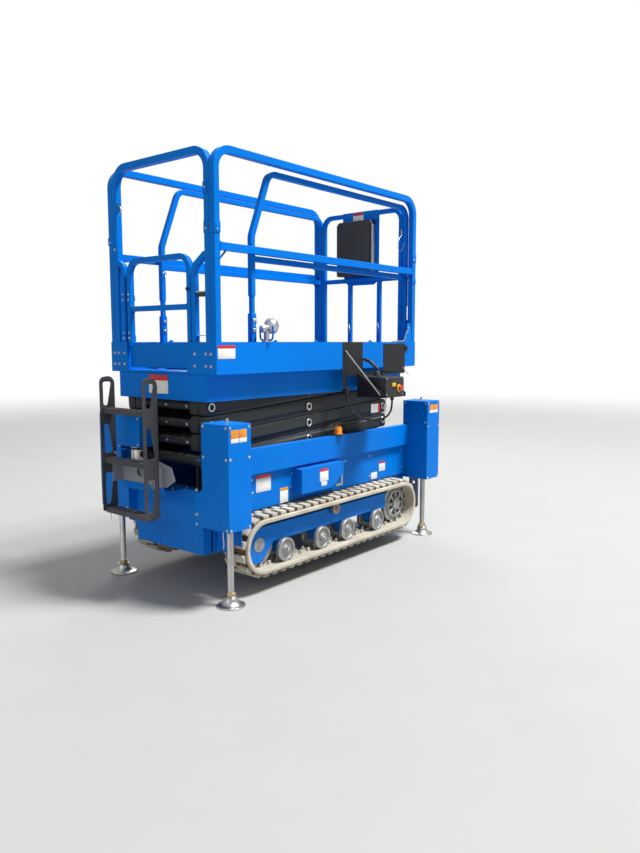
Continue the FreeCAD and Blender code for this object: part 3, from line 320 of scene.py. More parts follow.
greyPaint = paint("lightGreyPaint", (0.27, 0.28, 0.33), {**paintBase, "rough": 0.4, "chip": (0.2, 0.13, 0.08)})
blackPaint = paint("blackPaint", (0.016, 0.017, 0.019),
                   {**paintBase, "rough": 0.45, "peel": 800.0, "peelStrength": 0.6, "chip": (0.25, 0.25, 0.25)})


metalScales = {"cloud": 18, "grain": 240, "stain": 34}
plasticScales = {"cloud": 12, "dust": 30, "scuff": 60}


def metal(name, colour, rough, stain, stainAmount, grain=(1, 1, 1)):
    # plated or bare metal: cloudy tone, fine grain, dull stains
    skin = Finish(name)
    cloud = skin.noise(metalScales["cloud"], 5, 0.6)
    fine = skin.noise(metalScales["grain"], 3, 0.6, grain)
    tone = skin.mix(cloud.band(0.3, 0.75), toned(colour, 0.8), colour)
    dirt = skin.noise(metalScales["stain"], 6, 0.7).band(0.62 - stainAmount * 0.2, 0.8) * stainAmount
    tone = skin.mix(dirt, tone, stain)
    return skin.set(colour=tone, metal=(1 - dirt * 0.9).clamped(),
                    rough=(rough + fine * 0.16 + dirt * 0.35).clamped(),
                    normal=skin.bump(fine + cloud * 0.5, 0.0003, 0.35))


zincPlate = metal("zincPlate", (0.62, 0.62, 0.60), 0.26, (0.33, 0.27, 0.18), 0.35)
brassZinc = metal("brassZinc", (0.66, 0.52, 0.25), 0.30, (0.25, 0.2, 0.14), 0.3)
chromeSteel = metal("chromeSteel", (0.78, 0.79, 0.80), 0.10, (0.3, 0.28, 0.24), 0.12, (1, 1, 8))
paleMetal = metal("paleMetal", (0.70, 0.70, 0.68), 0.36, (0.3, 0.27, 0.22), 0.3)
rustyIron = metal("rustyIron", (0.30, 0.26, 0.22), 0.5, (0.24, 0.09, 0.03), 1.0)


def plastic(name, colour, rough, grain=420.0, coat=0.0):
    # moulded plastic, rubber or film: fine grain, dust on what faces up, scuffed edges
    skin = Finish(name)
    cloud = skin.noise(plasticScales["cloud"], 4)
    dust = skin.upward().band(0.4, 0.9) * skin.noise(plasticScales["dust"], 6, 0.7).band(0.4, 0.75) * 0.3
    scuff = skin.attribute("edgeWear") * skin.noise(plasticScales["scuff"], 4).band(0.5, 0.65) * 0.5
    tone = skin.mix(cloud.band(0.3, 0.7), toned(colour, 0.85), colour)
    tone = skin.mix((dust + scuff).clamped(), tone, toned(colour, 0.5, 0.16))
    return skin.set(colour=tone, rough=(rough + cloud * 0.1 + dust * 0.3).clamped(), coat=coat,
                    normal=skin.bump(skin.noise(grain, 2), 0.0003, 0.4))


blackPlastic = plastic("blackPlastic", (0.018, 0.019, 0.021), 0.42)
leadRubber = plastic("leadRubber", (0.014, 0.014, 0.015), 0.55, 900.0)
redPlastic = plastic("redPlastic", (0.70, 0.018, 0.012), 0.25, 200.0, 0.3)
yellowPlastic = plastic("yellowPlastic", (0.85, 0.50, 0.01), 0.25, 200.0, 0.3)
whiteFilm = plastic("whiteFilm", (0.80, 0.80, 0.78), 0.30, 90.0)
redFilm = plastic("redFilm", (0.62, 0.02, 0.02), 0.30, 90.0)
orangeFilm = plastic("orangeFilm", (0.85, 0.30, 0.015), 0.30, 90.0)
lead.data.materials.append(leadRubber)


lensLook = {"dark": (0.75, 0.16, 0.004), "light": (0.95, 0.33, 0.01), "rough": 0.14, "coat": 0.6, "glow": 0.12}


def lensFinish(look):
    # the beacon's lens: glossy, a little light of its own
    skin = Finish("orangeLens")
    cloud = skin.noise(40, 3)
    tone = skin.mix(cloud.band(0.3, 0.7), look["dark"], look["light"])
    return skin.set(colour=tone, rough=look["rough"] + cloud * 0.05, coat=look["coat"], glow=tone,
                    glowStrength=look["glow"])


orangeLens = lensFinish(lensLook)


trackPlan = {"wheelBase": 1.334, "wheelRadius": 0.126, "middle": (0.970, 0.384, 0.258), "width": 0.180,
             "thickness": 0.022, "edge": 0.014, "lugCount": 52, "lugHeight": 0.020, "lugLength": 0.048,
             "lugFlank": 0.005, "toothLength": 0.030, "toothWidth": 0.013, "toothHeight": 0.020,
             "toothInner": 0.015, "toothFlank": 0.0075, "sink": 0.005, "bevel": 0.0022, "arcSteps": 28,
             "beltEdge": 0.004, "beltEdgeSteps": 3}
# the soil tone is the dark brown between the lugs: soil, and painted shade there
trackTones = {"dark": (0.42, 0.39, 0.32), "light": (0.55, 0.515, 0.425), "inside": (0.34, 0.32, 0.27),
              "soil": (0.15, 0.080, 0.038), "rust": (0.24, 0.095, 0.03)}


def trackFinish(plan, tones):
    # pale rubber: brown soil and painted shade between the lugs, clean lug tops and edge bands, grey dust inside
    # the loop
    skin = Finish("trackRubber")
    cloud, fine = skin.noise(7, 4), skin.noise(120, 5, 0.7)
    middle = Vector(plan["middle"])
    beyond = ((skin.axis(skin.spot, "X") - (middle.x + shift.x)).alone("ABSOLUTE") - plan["wheelBase"] / 2)
    beyond = beyond.maths("MAXIMUM", beyond, 0.0)
    high = skin.height() - middle.z
    away = (beyond * beyond + high * high) ** 0.5
    across = ((skin.axis(skin.spot, "Y") - shift.y).alone("ABSOLUTE") - middle.y).alone("ABSOLUTE")
    face = plan["wheelRadius"] + plan["thickness"]
    outside = away.band(face - 0.002, face - 0.0005)
    low = 1 - away.band(face + 0.002, face + plan["lugHeight"] - 0.003)
    lane = plan["width"] / 2 - plan["edge"]
    recess = outside * low * (1 - across.band(lane - 0.002, lane + 0.001))
    inside = 1 - away.band(plan["wheelRadius"] - 0.001, plan["wheelRadius"] + 0.002)
    grit = skin.noise(30, 6, 0.7)
    pale = skin.mix(cloud.band(0.3, 0.7), tones["dark"], tones["light"])
    tone = skin.mix(inside * 0.6, pale, tones["inside"])
    # every recess between the lugs gets at least half the dark brown tone: partly soil, partly painted shade where
    # the lugs shade the belt
    soil = (recess * (0.5 + skin.noise(24, 6, 0.7).band(0.35, 0.6)) + grit.band(0.58, 0.75) * 0.3).clamped()
    tone = skin.mix(soil, tone, tones["soil"])
    rust = recess * skin.noise(60, 5, 0.7).band(0.55, 0.65) * 0.6
    tone = skin.mix(rust, tone, tones["rust"])
    return skin.set(colour=tone, rough=(0.72 + soil * 0.2).clamped(), specular=0.3,
                    normal=skin.bump(fine + soil * 0.6, 0.0012, 0.6))


trackRubber = trackFinish(trackPlan, trackTones)
rollerTones = {"dark": (0.24, 0.25, 0.25), "light": (0.42, 0.43, 0.42), "soil": (0.33, 0.29, 0.22),
               "rust": (0.23, 0.10, 0.04), "bright": (0.66, 0.66, 0.64)}
topRoller = (0.940, 0.351)     # x and z of the roller that carries the belt's upper run


def rollerFinish(tones):
    # cast rollers: worn bright running faces, soil and light rust elsewhere, the top roller rustier
    skin = Finish("rollerCast")
    cloud = skin.noise(20, 5, 0.6)
    fine = skin.noise(160, 4, 0.7)
    tone = skin.mix(cloud.band(0.3, 0.7), tones["dark"], tones["light"])
    soil = skin.noise(28, 6, 0.72).band(0.48, 0.72) * 0.75
    along, up = skin.axis(skin.spot, "X") - (topRoller[0] + shift.x), skin.height() - topRoller[1]
    nearTop = 1 - (along * along + up * up).band(0.0013, 0.0016)
    rust = (skin.noise(45, 5, 0.7).band(0.64, 0.72) * 0.5 + nearTop * 0.7 * fine.band(0.3, 0.55)).clamped()
    tone = skin.mix(soil, tone, tones["soil"])
    tone = skin.mix(rust, tone, tones["rust"])
    bright = skin.attribute("edgeWear") * fine.band(0.35, 0.5)
    tone = skin.mix(bright, tone, tones["bright"])
    return skin.set(colour=tone, metal=(0.55 + bright * 0.4 - soil * 0.5).clamped(),
                    rough=(0.5 + soil * 0.3 - bright * 0.2).clamped(), normal=skin.bump(fine + cloud, 0.0008, 0.5))


rollerCast = rollerFinish(rollerTones)
print("finishes made")

# studio: pale floor, white behind it, soft lamps
studio = {"floorTone": (0.40, 0.40, 0.39), "floorSize": 60.0, "fadeFrom": 5.0, "fadeTo": 16.0, "worldLight": 0.34,
          "glossLight": 0.3, "lampAim": (0, 0, 1.0),
          "lamps": (("keyLamp", (3.8, -7.8, 17.0), 4.8, 6000.0), ("fillLamp", (-7.0, 0.5, 3.0), 4.0, 60.0),
                    ("rimLamp", (5.0, 5.0, 5.5), 4.0, 220.0))}


def makeStudio(settings):
    world = bpy.data.worlds.new("studioWorld")
    scene.world = world
    world.use_nodes = True
    tree = world.node_tree
    tree.nodes.clear()
    path = [add(tree, "ShaderNodeLightPath", {}, {}, name) for name in
            ("Is Camera Ray", "Is Glossy Ray", "Is Transmission Ray")]
    seen = add(tree, "ShaderNodeClamp", {}, {"Value": path[0] + path[1] * settings["glossLight"] + path[2]})
    strength = settings["worldLight"] + seen * (1 - settings["worldLight"])
    sky = add(tree, "ShaderNodeBackground", {}, {"Color": (1, 1, 1), "Strength": strength})
    output = tree.nodes.new("ShaderNodeOutputWorld")
    tree.links.new(sky.socket, output.inputs[0])
    for name, spot, size, power in settings["lamps"]:
        data = bpy.data.lights.new(name, "AREA")
        data.shape = "DISK"
        data.size, data.energy = size, power
        lamp = bpy.data.objects.new(name, data)
        lamp.location = spot
        aim = Vector(settings["lampAim"]) - Vector(spot)
        lamp.rotation_euler = aim.to_track_quat("-Z", "Y").to_euler()
        scene.collection.objects.link(lamp)
    half = settings["floorSize"] / 2
    shape = bmesh.new()
    corners = [shape.verts.new((x, y, 0)) for x, y in ((-half, -half), (half, -half), (half, half), (-half, half))]
    shape.faces.new(corners)
    skin = Finish("studioFloor")
    away = skin.add("ShaderNodeVectorMath", {"operation": "LENGTH"}, {0: skin.spot}, "Value")
    grain = skin.noise(3, 4)
    tone = settings["floorTone"]
    skin.set(colour=skin.mix(grain.band(0.2, 0.8), toned(tone, 0.97), tone), rough=0.85)
    white = skin.add("ShaderNodeEmission", {}, {"Color": (1, 1, 1), "Strength": 1.0})
    shown = skin.add("ShaderNodeLightPath", {}, {}, "Is Camera Ray")
    fade = away.band(settings["fadeFrom"], settings["fadeTo"]) * shown
    blend = skin.add("ShaderNodeMixShader", {}, {0: fade, 1: Wire(skin.tree, skin.shader.outputs[0]), 2: white})
    output = [n for n in skin.tree.nodes if n.type == "OUTPUT_MATERIAL"][0]
    skin.tree.links.new(blend.socket, output.inputs[0])
    floor = bpy.data.objects.new("studioFloor", toMesh(shape, "studioFloor", [skin.material]))
    scene.collection.objects.link(floor)


makeStudio(studio)
print("studio made")


# CAD pieces: a merged copy of each node with its sharp edges rounded; broad faces stay flat

rounding = {"mergeGap": 2e-5, "flatAngle": 0.6, "sharpFrom": 30, "openShare": 0.3, "slimWidths": 2.3,
            "normalsAgree": 0.4, "normalDigits": 2}


def dressed(node, finish, width, segments, plan):
    shape = bmesh.new()
    shape.from_mesh(frame["nodes"][node].data)
    bmesh.ops.remove_doubles(shape, verts=shape.verts, dist=plan["mergeGap"])
    seen = {}
    for face in shape.faces:
        seen.setdefault(frozenset(vert.index for vert in face.verts), []).append(face)
    doubled = [face for faces in seen.values() if len(faces) > 1 for face in faces]
    bmesh.ops.delete(shape, geom=doubled, context="FACES")
    bmesh.ops.dissolve_limit(shape, angle_limit=math.radians(plan["flatAngle"]), verts=shape.verts,
                             edges=shape.edges)
    wear = shape.verts.layers.float.new("edgeWear")
    edged = {edge for edge in shape.edges
             if len(edge.link_faces) == 2 and edge.calc_face_angle() > math.radians(plan["sharpFrom"])}
    # a face is part of a bend where enough of its outline isn't sharp
    for face in shape.faces:
        around = sum(edge.calc_length() for edge in face.edges)
        bent = [edge for edge in face.edges if edge not in edged and len(edge.link_faces) == 2]
        face.smooth = sum(edge.calc_length() for edge in bent) > plan["openShare"] * around
    # edges of faces too narrow for the rounding stay as they are
    slim = {edge for edge in edged if any(face.calc_area() < plan["slimWidths"] * width * edge.calc_length()
                                          for face in edge.link_faces)}
    besideSlim = {vert for edge in slim for vert in edge.verts}
    sharp = [edge for edge in edged if edge not in slim
             and not (edge.calc_length() < width and any(vert in besideSlim for vert in edge.verts))]
    made = bmesh.ops.bevel(shape, geom=sharp, offset=width, offset_type="OFFSET", segments=segments, profile=0.5,
                           affect="EDGES", clamp_overlap=False)
    strips = set(made["faces"])
    for face in strips:
        face.smooth = True
    for vert in made["verts"]:
        if all(face in strips for face in vert.link_faces):
            vert[wear] = 1.0
    # broad flat faces keep their own normals, and the rounded strips beside them start from these
    shape.normal_update()
    normals = []
    for face in shape.faces:
        flatNormals = {}
        for edge in face.edges:
            for other in edge.link_faces:
                if face.smooth and not other.smooth:
                    for vert in edge.verts:
                        flatNormals.setdefault(vert, []).append(other.normal.copy())
        for loop in face.loops:
            own = flatNormals.get(loop.vert, [])
            normals.append(face.normal.copy() if not face.smooth else own[0] if len(own) == 1 else (0, 0, 0))
    draft = bpy.data.meshes.new(node + "Draft")
    shape.to_mesh(draft)
    shape.free()
    draft.set_sharp_from_angle(angle=math.radians(creaseAngle))
    draft.normals_split_custom_set(normals)
    mesh = splitByNormal(draft, node + "Skin", plan)
    bpy.data.meshes.remove(draft)
    mesh.materials.append(finish)
    return mesh


def splitByNormal(draft, name, plan):
    # one vertex for each normal it carries
    kinds, corners, turned = {}, [], []
    for polygon in draft.polygons:
        for index in polygon.loop_indices:
            normal = draft.corner_normals[index].vector
            agrees = normal.dot(polygon.normal) > plan["normalsAgree"]
            turned.append(tuple(normal if agrees else polygon.normal))
            rounded = (round(part, plan["normalDigits"]) for part in turned[-1])
            key = (draft.loops[index].vertex_index, *rounded)
            corners.append(kinds.setdefault(key, len(kinds)))
    old = [key[0] for key in kinds]
    mesh = bpy.data.meshes.new(name)
    mesh.from_pydata([draft.vertices[index].co for index in old], [],
                     [[corners[loop] for loop in polygon.loop_indices] for polygon in draft.polygons])
    values = draft.attributes["edgeWear"].data
    worn = mesh.attributes.new("edgeWear", "FLOAT", "POINT").data
    for spot, index in zip(worn, old):
        spot.value = values[index].value
    mesh.shade_smooth()
    mesh.normals_split_custom_set(turned)
    return mesh


def nodesOf(*words):
    return [node for node in sorted(bodyOf) if node.startswith(words)]


coats = (
    {"nodes": nodesOf("side_rail", "end_rail", "extension_rails", "front_rail", "gate"), "finish": bluePaint,
     "width": 0.0035, "segments": 3},
    {"nodes": ["deck", "extension_deck"], "finish": treadPaint, "width": 0.0022, "segments": 2},
    {"nodes": nodesOf("platform_frame", "side_beam", "side_cover", "jack_box", "chassis", "end_shelf",
                      "track_frame", "motor_cover"), "finish": bluePaint, "width": 0.0022, "segments": 2},
    {"nodes": nodesOf("tow_plates"), "finish": greyPaint, "width": 0.0018, "segments": 2},
    {"nodes": nodesOf("work_lamp"), "finish": paleMetal, "width": 0.0012, "segments": 2},
    {"nodes": nodesOf("outer_arms", "inner_arms", "pivot_tube"), "finish": charcoalPaint, "width": 0.0025,
     "segments": 2},
    {"nodes": ["ladder"], "finish": ladderPaint, "width": 0.0014, "segments": 2},
    {"nodes": ["ladder_bracket"], "finish": greyPaint, "width": 0.0014, "segments": 2},
    {"nodes": nodesOf("lift_cylinder"), "finish": charcoalPaint, "width": 0.002, "segments": 2},
    {"nodes": nodesOf("lift_rod"), "finish": chromeSteel, "width": 0.001, "segments": 2},
    {"nodes": nodesOf("jack_leg"), "finish": zincPlate, "width": 0.0016, "segments": 2},
    {"nodes": nodesOf("rollers", "idler", "sprocket"), "finish": rollerCast, "width": 0.0025, "segments": 2},
    {"nodes": nodesOf("control_bracket", "power_unit"), "finish": blackPaint, "width": 0.0012, "segments": 2},
    {"nodes": nodesOf("control_box", "document_box"), "finish": blackPlastic, "width": 0.005, "segments": 3},
    {"nodes": ["beacon"], "finish": orangeLens, "width": 0.004, "segments": 3},
    {"nodes": ["pump_motor"], "finish": paleMetal, "width": 0.003, "segments": 3},
)
for coat in coats:
    for node in coat["nodes"]:
        skin = dressed(node, coat["finish"], coat["width"], coat["segments"], rounding)
        place(node + "Skin", skin, bodyOf[node], node)
print("CAD nodes dressed:", sum(len(coat["nodes"]) for coat in coats))

# Geometry Nodes: each tree has named inputs and ends in real meshes with one material

def openTree(name, inputs):
    tree = bpy.data.node_groups.new(name, "GeometryNodeTree")
    tree.interface.new_socket(name="Geometry", in_out="INPUT", socket_type="NodeSocketGeometry")
    for key, value in inputs.items():
        kind = "NodeSocketInt" if isinstance(value, int) else "NodeSocketFloat"
        tree.interface.new_socket(name=key, in_out="INPUT", socket_type=kind).default_value = value
    tree.interface.new_socket(name="Geometry", in_out="OUTPUT", socket_type="NodeSocketGeometry")
    entry = tree.nodes.new("NodeGroupInput")
    return tree, {socket.name: Wire(tree, socket) for socket in entry.outputs if socket.name}


def closeTree(tree, geometry, finish):
    real = add(tree, "GeometryNodeRealizeInstances", {}, {"Geometry": geometry})
    coated = add(tree, "GeometryNodeSetMaterial", {}, {"Geometry": real, "Material": finish})
    leave = tree.nodes.new("NodeGroupOutput")
    tree.links.new(coated.socket, leave.inputs[0])
    return tree


def joined(tree, geometries):
    node = tree.nodes.new("GeometryNodeJoinGeometry")
    for geometry in geometries:
        tree.links.new(geometry.socket, node.inputs[0])
    return Wire(tree, node.outputs[0])


def moved(tree, geometry, z=0.0, scale=(1, 1, 1), turn=None):
    values = {"Geometry": geometry, "Translation": combined(tree, 0.0, 0.0, z), "Scale": scale}
    if turn:
        values["Rotation"] = add(tree, "FunctionNodeEulerToRotation", {}, {"Euler": turn})
    return add(tree, "GeometryNodeTransform", {}, values)


def combined(tree, x, y, z):
    return add(tree, "ShaderNodeCombineXYZ", {}, {"X": x, "Y": y, "Z": z})


def letterOf(tree, wire, letter):
    return add(tree, "ShaderNodeSeparateXYZ", {}, {0: wire}, letter)


def onPoints(tree, points, shape, **values):
    return add(tree, "GeometryNodeInstanceOnPoints", {}, {"Points": points, "Instance": shape, **values})


def named(tree, name, kind="FLOAT"):
    return add(tree, "GeometryNodeInputNamedAttribute", {"data_type": kind}, {"Name": name})


def column(tree, sides, radius, depth, foot):
    shape = add(tree, "GeometryNodeMeshCylinder", {}, {"Vertices": sides, "Radius": radius, "Depth": depth})
    return moved(tree, shape, z=foot + depth * 0.5)


def grown(tree, mesh, name, values=None, bevel=0.0, smoothAngle=creaseAngle):
    holder = bpy.data.objects.new("holder", mesh)
    scene.collection.objects.link(holder)
    modifier = holder.modifiers.new("nodes", "NODES")
    modifier.node_group = tree
    for item in tree.interface.items_tree:
        if item.in_out == "INPUT" and item.name in (values or {}):
            modifier[item.identifier] = values[item.name]
    holder.update_tag()
    if bevel:
        edges = holder.modifiers.new("bevel", "BEVEL")
        edges.width, edges.segments, edges.limit_method = bevel, 2, "ANGLE"
    graph = bpy.context.evaluated_depsgraph_get()
    result = bpy.data.meshes.new_from_object(holder.evaluated_get(graph), preserve_all_data_layers=True,
                                             depsgraph=graph)
    bpy.data.objects.remove(holder)
    result.name = name
    return shaded(result, smoothAngle)


# tracks: a swept belt, two staggered rows of lugs outside and two rows of guide teeth inside

def trackTree(plan, finish):
    names = ("Wheel Base", "Wheel Radius", "Width", "Thickness", "Edge", "Lug Count", "Lug Height", "Lug Length",
             "Lug Flank", "Tooth Length", "Tooth Width", "Tooth Height", "Tooth Inner", "Tooth Flank", "Sink")
    sizes = {name: plan[name[0].lower() + name[1:].replace(" ", "")] for name in names}
    tree, wires = openTree("trackLoop", {**sizes, "Side": 1.0})
    base, radius, width, thick = (wires[key] for key in ("Wheel Base", "Wheel Radius", "Width", "Thickness"))
    count, side, sink = wires["Lug Count"], wires["Side"], wires["Sink"]

    def loop(line):
        outline = add(tree, "GeometryNodeCurvePrimitiveQuadrilateral", {},
                      {"Width": base + line * 2, "Height": line * 2})
        # the radius stays just under half the height, so that the two arcs don't meet
        return add(tree, "GeometryNodeFilletCurve", {"mode": "POLY"},
                   {"Curve": outline, "Radius": line * 0.9999, "Count": plan["arcSteps"]})

    def block(reach, foot, length, across, flank):
        # a tapered block from x = foot to x = reach, shorter and narrower at its reach
        cube = add(tree, "GeometryNodeMeshCube", {},
                   {"Size": (1, 1, 1), "Vertices X": 2, "Vertices Y": 2, "Vertices Z": 2})
        spot = add(tree, "GeometryNodeInputPosition", {}, {})
        x, y, z = (letterOf(tree, spot, letter) for letter in "XYZ")
        far = x + 0.5
        shaped = combined(tree, foot + far * (reach - foot), y * (length - far * flank * 2),
                          z * (across - far * flank * 0.5))
        return add(tree, "GeometryNodeSetPosition", {}, {"Geometry": cube, "Position": shaped})

    def row(shape, line, phase, offset):
        points = add(tree, "GeometryNodePoints", {}, {"Count": count})
        index = add(tree, "GeometryNodeInputIndex", {}, {})
        sample = add(tree, "GeometryNodeSampleCurve", {"mode": "FACTOR", "use_all_curves": True},
                     {"Curves": loop(line), "Factor": (index + phase) / count}, "Position")
        x, y = letterOf(tree, sample, "X"), letterOf(tree, sample, "Y")
        held = x.maths("MINIMUM", x.maths("MAXIMUM", x, base * -0.5), base * 0.5)
        turn = add(tree, "FunctionNodeAxesToRotation", {"primary_axis": "Z", "secondary_axis": "X"},
                   {"Primary Axis": (0, 0, 1), "Secondary Axis": combined(tree, x - held, y, 0.0)})
        points = add(tree, "GeometryNodeSetPosition", {},
                     {"Geometry": points, "Position": combined(tree, x, y, offset)})
        return onPoints(tree, points, shape, Rotation=turn)

    level = add(tree, "GeometryNodeSetCurveNormal", {"mode": "Z_UP"}, {"Curve": loop(radius + thick * 0.5)})
    profile = add(tree, "GeometryNodeCurvePrimitiveQuadrilateral", {}, {"Width": thick, "Height": width})
    soft = add(tree, "GeometryNodeFilletCurve", {"mode": "POLY"},
               {"Curve": profile, "Radius": plan["beltEdge"], "Count": plan["beltEdgeSteps"]})
    belt = add(tree, "GeometryNodeCurveToMesh", {}, {"Curve": level, "Profile Curve": soft})
    lane = width * 0.5 - wires["Edge"]
    lug = block(wires["Lug Height"], sink * -1, wires["Lug Length"], lane, wires["Lug Flank"])
    tooth = block(wires["Tooth Height"] * -1, sink, wires["Tooth Length"], wires["Tooth Width"],
                  wires["Tooth Flank"])
    outer = radius + thick
    away = wires["Tooth Inner"] + wires["Tooth Width"] * 0.5
    rows = [row(lug, outer, 0.0, lane * 0.5 * side), row(lug, outer, 0.5, lane * -0.5 * side),
            row(tooth, radius, 0.25, away), row(tooth, radius, 0.25, away * -1)]
    upright = moved(tree, joined(tree, [belt, *rows]), turn=(math.pi / 2, 0, 0))
    return closeTree(tree, upright, finish)


loopTree = trackTree(trackPlan, trackRubber)
for side, name, node in ((1, "trackLeft", "track_left"), (-1, "trackRight", "track_right")):
    mesh = grown(loopTree, bpy.data.meshes.new("seed"), name, {"Side": float(side)}, trackPlan["bevel"])
    along, across, high = trackPlan["middle"]
    mesh.transform(Matrix.Translation(Vector((along, across * side, high)) + shift))
    place(name, mesh, "chassis", node)
print("tracks made")


# fasteners: one tree for hexagon bolts, one for dome screws; points carry the way they face and their size

def spun(tree, rotation, angle):
    # a rotation turned further round its own z
    spin = add(tree, "FunctionNodeEulerToRotation", {}, {"Euler": combined(tree, 0.0, 0.0, angle)})
    return add(tree, "FunctionNodeRotateRotation", {"rotation_space": "LOCAL"},
               {"Rotation": rotation, "Rotate By": spin})


def onSpots(tree, wires, shape):
    facing = named(tree, "facing", "FLOAT_VECTOR")
    aimed = add(tree, "FunctionNodeAlignRotationToVector", {"axis": "Z"}, {"Vector": facing})
    angle = add(tree, "FunctionNodeRandomValue", {"data_type": "FLOAT"}, {2: 0.0, 3: 6.28, 8: wires["Seed"]}, 1)
    return onPoints(tree, wires["Geometry"], shape, Rotation=spun(tree, aimed, angle), Scale=named(tree, "size"))


def boltTree(name, finish, seed):
    tree, wires = openTree(name, {"Head Radius": 0.0075, "Head Height": 0.0053, "Washer Radius": 0.0088,
                                  "Washer Height": 0.0015, "Stud Height": 0.0022, "Seed": seed})
    radius, height, washer = wires["Head Radius"], wires["Head Height"], wires["Washer Height"]
    sunk = column(tree, 24, wires["Washer Radius"], washer * 2, washer * -1)
    head = column(tree, 6, radius, height, washer)
    crown = add(tree, "GeometryNodeMeshCone", {}, {"Vertices": 24, "Radius Top": radius * 0.7,
                                                   "Radius Bottom": radius * 0.9, "Depth": height * 0.18})
    crown = moved(tree, crown, z=washer + height)
    stud = column(tree, 14, radius * 0.5, wires["Stud Height"], washer + height)
    return closeTree(tree, onSpots(tree, wires, joined(tree, [sunk, head, crown, stud])), finish)


def screwTree(name, finish, seed):
    tree, wires = openTree(name, {"Head Radius": 0.0058, "Head Height": 0.0034, "Socket Radius": 0.0026,
                                  "Washer Radius": 0.0078, "Washer Height": 0.0010, "Seed": seed})
    radius, height, washer = wires["Head Radius"], wires["Head Height"], wires["Washer Height"]
    ball = add(tree, "GeometryNodeMeshUVSphere", {}, {"Segments": 20, "Rings": 12, "Radius": 1.0})
    ball = moved(tree, ball, z=washer, scale=combined(tree, radius, radius, height))
    socket = column(tree, 6, wires["Socket Radius"], height, washer + height * 0.55)
    head = add(tree, "GeometryNodeMeshBoolean", {"operation": "DIFFERENCE"}, {"Mesh 1": ball, "Mesh 2": socket})
    sunk = column(tree, 24, wires["Washer Radius"], washer * 2, washer * -1)
    return closeTree(tree, onSpots(tree, wires, joined(tree, [head, sunk])), finish)


def spotCloud(spots):
    mesh = bpy.data.meshes.new("spots")
    mesh.from_pydata([Vector(spot[:3]) + shift for spot in spots], [], [])
    facing = mesh.attributes.new("facing", "FLOAT_VECTOR", "POINT")
    facing.data.foreach_set("vector", [part for spot in spots for part in facings[spot[3]]])
    size = mesh.attributes.new("size", "FLOAT", "POINT")
    size.data.foreach_set("value", [spot[4] for spot in spots])
    return mesh


def spotsAt(facing, size, places):
    return [(*spot, facing, size) for spot in places]


def bothSides(spots):
    turned = {"right": "left", "left": "right"}
    return spots + [(x, -y, z, turned.get(facing, facing), size) for x, y, z, facing, size in spots]


def ringPoints(centre, radius, count=12):
    x, y, z = centre
    return [(x + radius * math.cos(i * math.tau / count), y, z + radius * math.sin(i * math.tau / count))
            for i in range(count)]


# places as in the part's source: x from the platform's ladder end, y from the machine's middle, z from the ground
faceAt = {"box": -0.529, "cover": -0.350, "raisedCover": -0.420, "toeBoard": -0.429, "arm": -0.319,
          "control": -0.629, "endBoard": 0.0, "panel": 1.768}
scissor = {"levels": range(1, 5), "firstPin": 0.728, "rise": 0.0945, "pins": (0.060, 0.8286, 1.5971),
           "pinRises": (0.0, 0.04725, 0.0945)}
gateHinges = {"bolts": (1.363, 1.392, 1.571, 1.600), "sleeves": (1.376, 1.592)}

boxScrews = spotsAt("front", 1.0, [(-0.025, y, z) for y, z in (
    (-0.347, 0.926), (-0.512, 0.926), (-0.347, 0.770), (-0.512, 0.770), (-0.289, 0.418), (-0.512, 0.418))])
boxScrews += spotsAt("right", 1.0, [(x, faceAt["box"], z) for x in (-0.011, 0.119, 1.844, 1.974)
                                    for z in (0.926, 0.770, 0.415)])
for x, facing in ((1.830, "front"), (1.988, "rear")):
    boxScrews += spotsAt(facing, 1.0, [(x, y, z) for y in (-0.350, -0.512) for z in (0.926, 0.799)])
coverScrews = spotsAt("right", 0.85, [(x, faceAt["cover"], z) for x, z in (
    (0.320, 0.602), (0.319, 0.531), (0.640, 0.594), (0.636, 0.518), (1.150, 0.602), (1.410, 0.602),
    (1.410, 0.470), (1.790, 0.602), (1.790, 0.480))])
motorScrews = spotsAt("front", 0.8, [(-0.095, y, z) for y in (0.085, 0.285) for z in (0.800, 0.940)])
cornerBolts = spotsAt("front", 0.9, [(0.0, y, z) for y in (-0.273, -0.355, -0.391, 0.391, 0.355, 0.305)
                                     for z in (1.282, 1.222)])
railBolts = [(0.003, -0.369, 1.890, "front", 0.8), (0.021, -0.426, 1.884, "right", 0.7),
             (0.003, 0.407, 1.883, "front", 0.8), (0.003, 0.369, 1.844, "front", 0.8),
             (1.790, -0.426, 1.883, "right", 0.8), (1.790, 0.388, 1.883, "right", 0.8),
             (0.003, -0.364, 2.084, "front", 0.7), (1.725, -0.432, 1.434, "right", 0.9)]
hingeBolts = spotsAt("front", 0.75, [(0.003, 0.312, z) for z in gateHinges["bolts"]])
gateBolts = spotsAt("front", 0.75, [(0.009, 0.270, z) for z in gateHinges["bolts"]])
wheelNuts = spotsAt("right", 1.5, [(x, -0.449, 0.1983) for x in (0.492, 0.812, 1.059, 1.374)])
hubBolts = spotsAt("right", 0.7, ringPoints((1.637, -0.409, 0.258), 0.028, 6))
baseBolts = [(-0.025, -0.295, 0.597, "front", 1.0), (-0.025, -0.295, 0.470, "front", 1.0),
             (0.060, 0.095, 0.575, "up", 0.9), (0.060, -0.124, 0.575, "up", 0.9),
             (-0.020, -0.100, 0.575, "up", 1.0), (-0.020, 0.195, 0.575, "up", 1.0),
             (-0.140, 0.221, 0.751, "right", 1.2)]
controlScrews = spotsAt("right", 0.6, [(x, faceAt["control"], z) for x in (1.192, 1.366) for z in (1.026, 1.122)])
deckBolts = spotsAt("right", 1.1, [(0.316, -0.380, 1.457), (0.315, -0.380, 1.405), (0.316, 0.346, 1.457),
                                   (0.316, 0.346, 1.405)])
deckBolts += spotsAt("front", 1.0, [(1.772, 0.095, 1.462), (1.772, -0.155, 1.465)])
zincBolts, zincScrews = boltTree("hexBolts", zincPlate, 7), screwTree("domeScrews", zincPlate, 11)
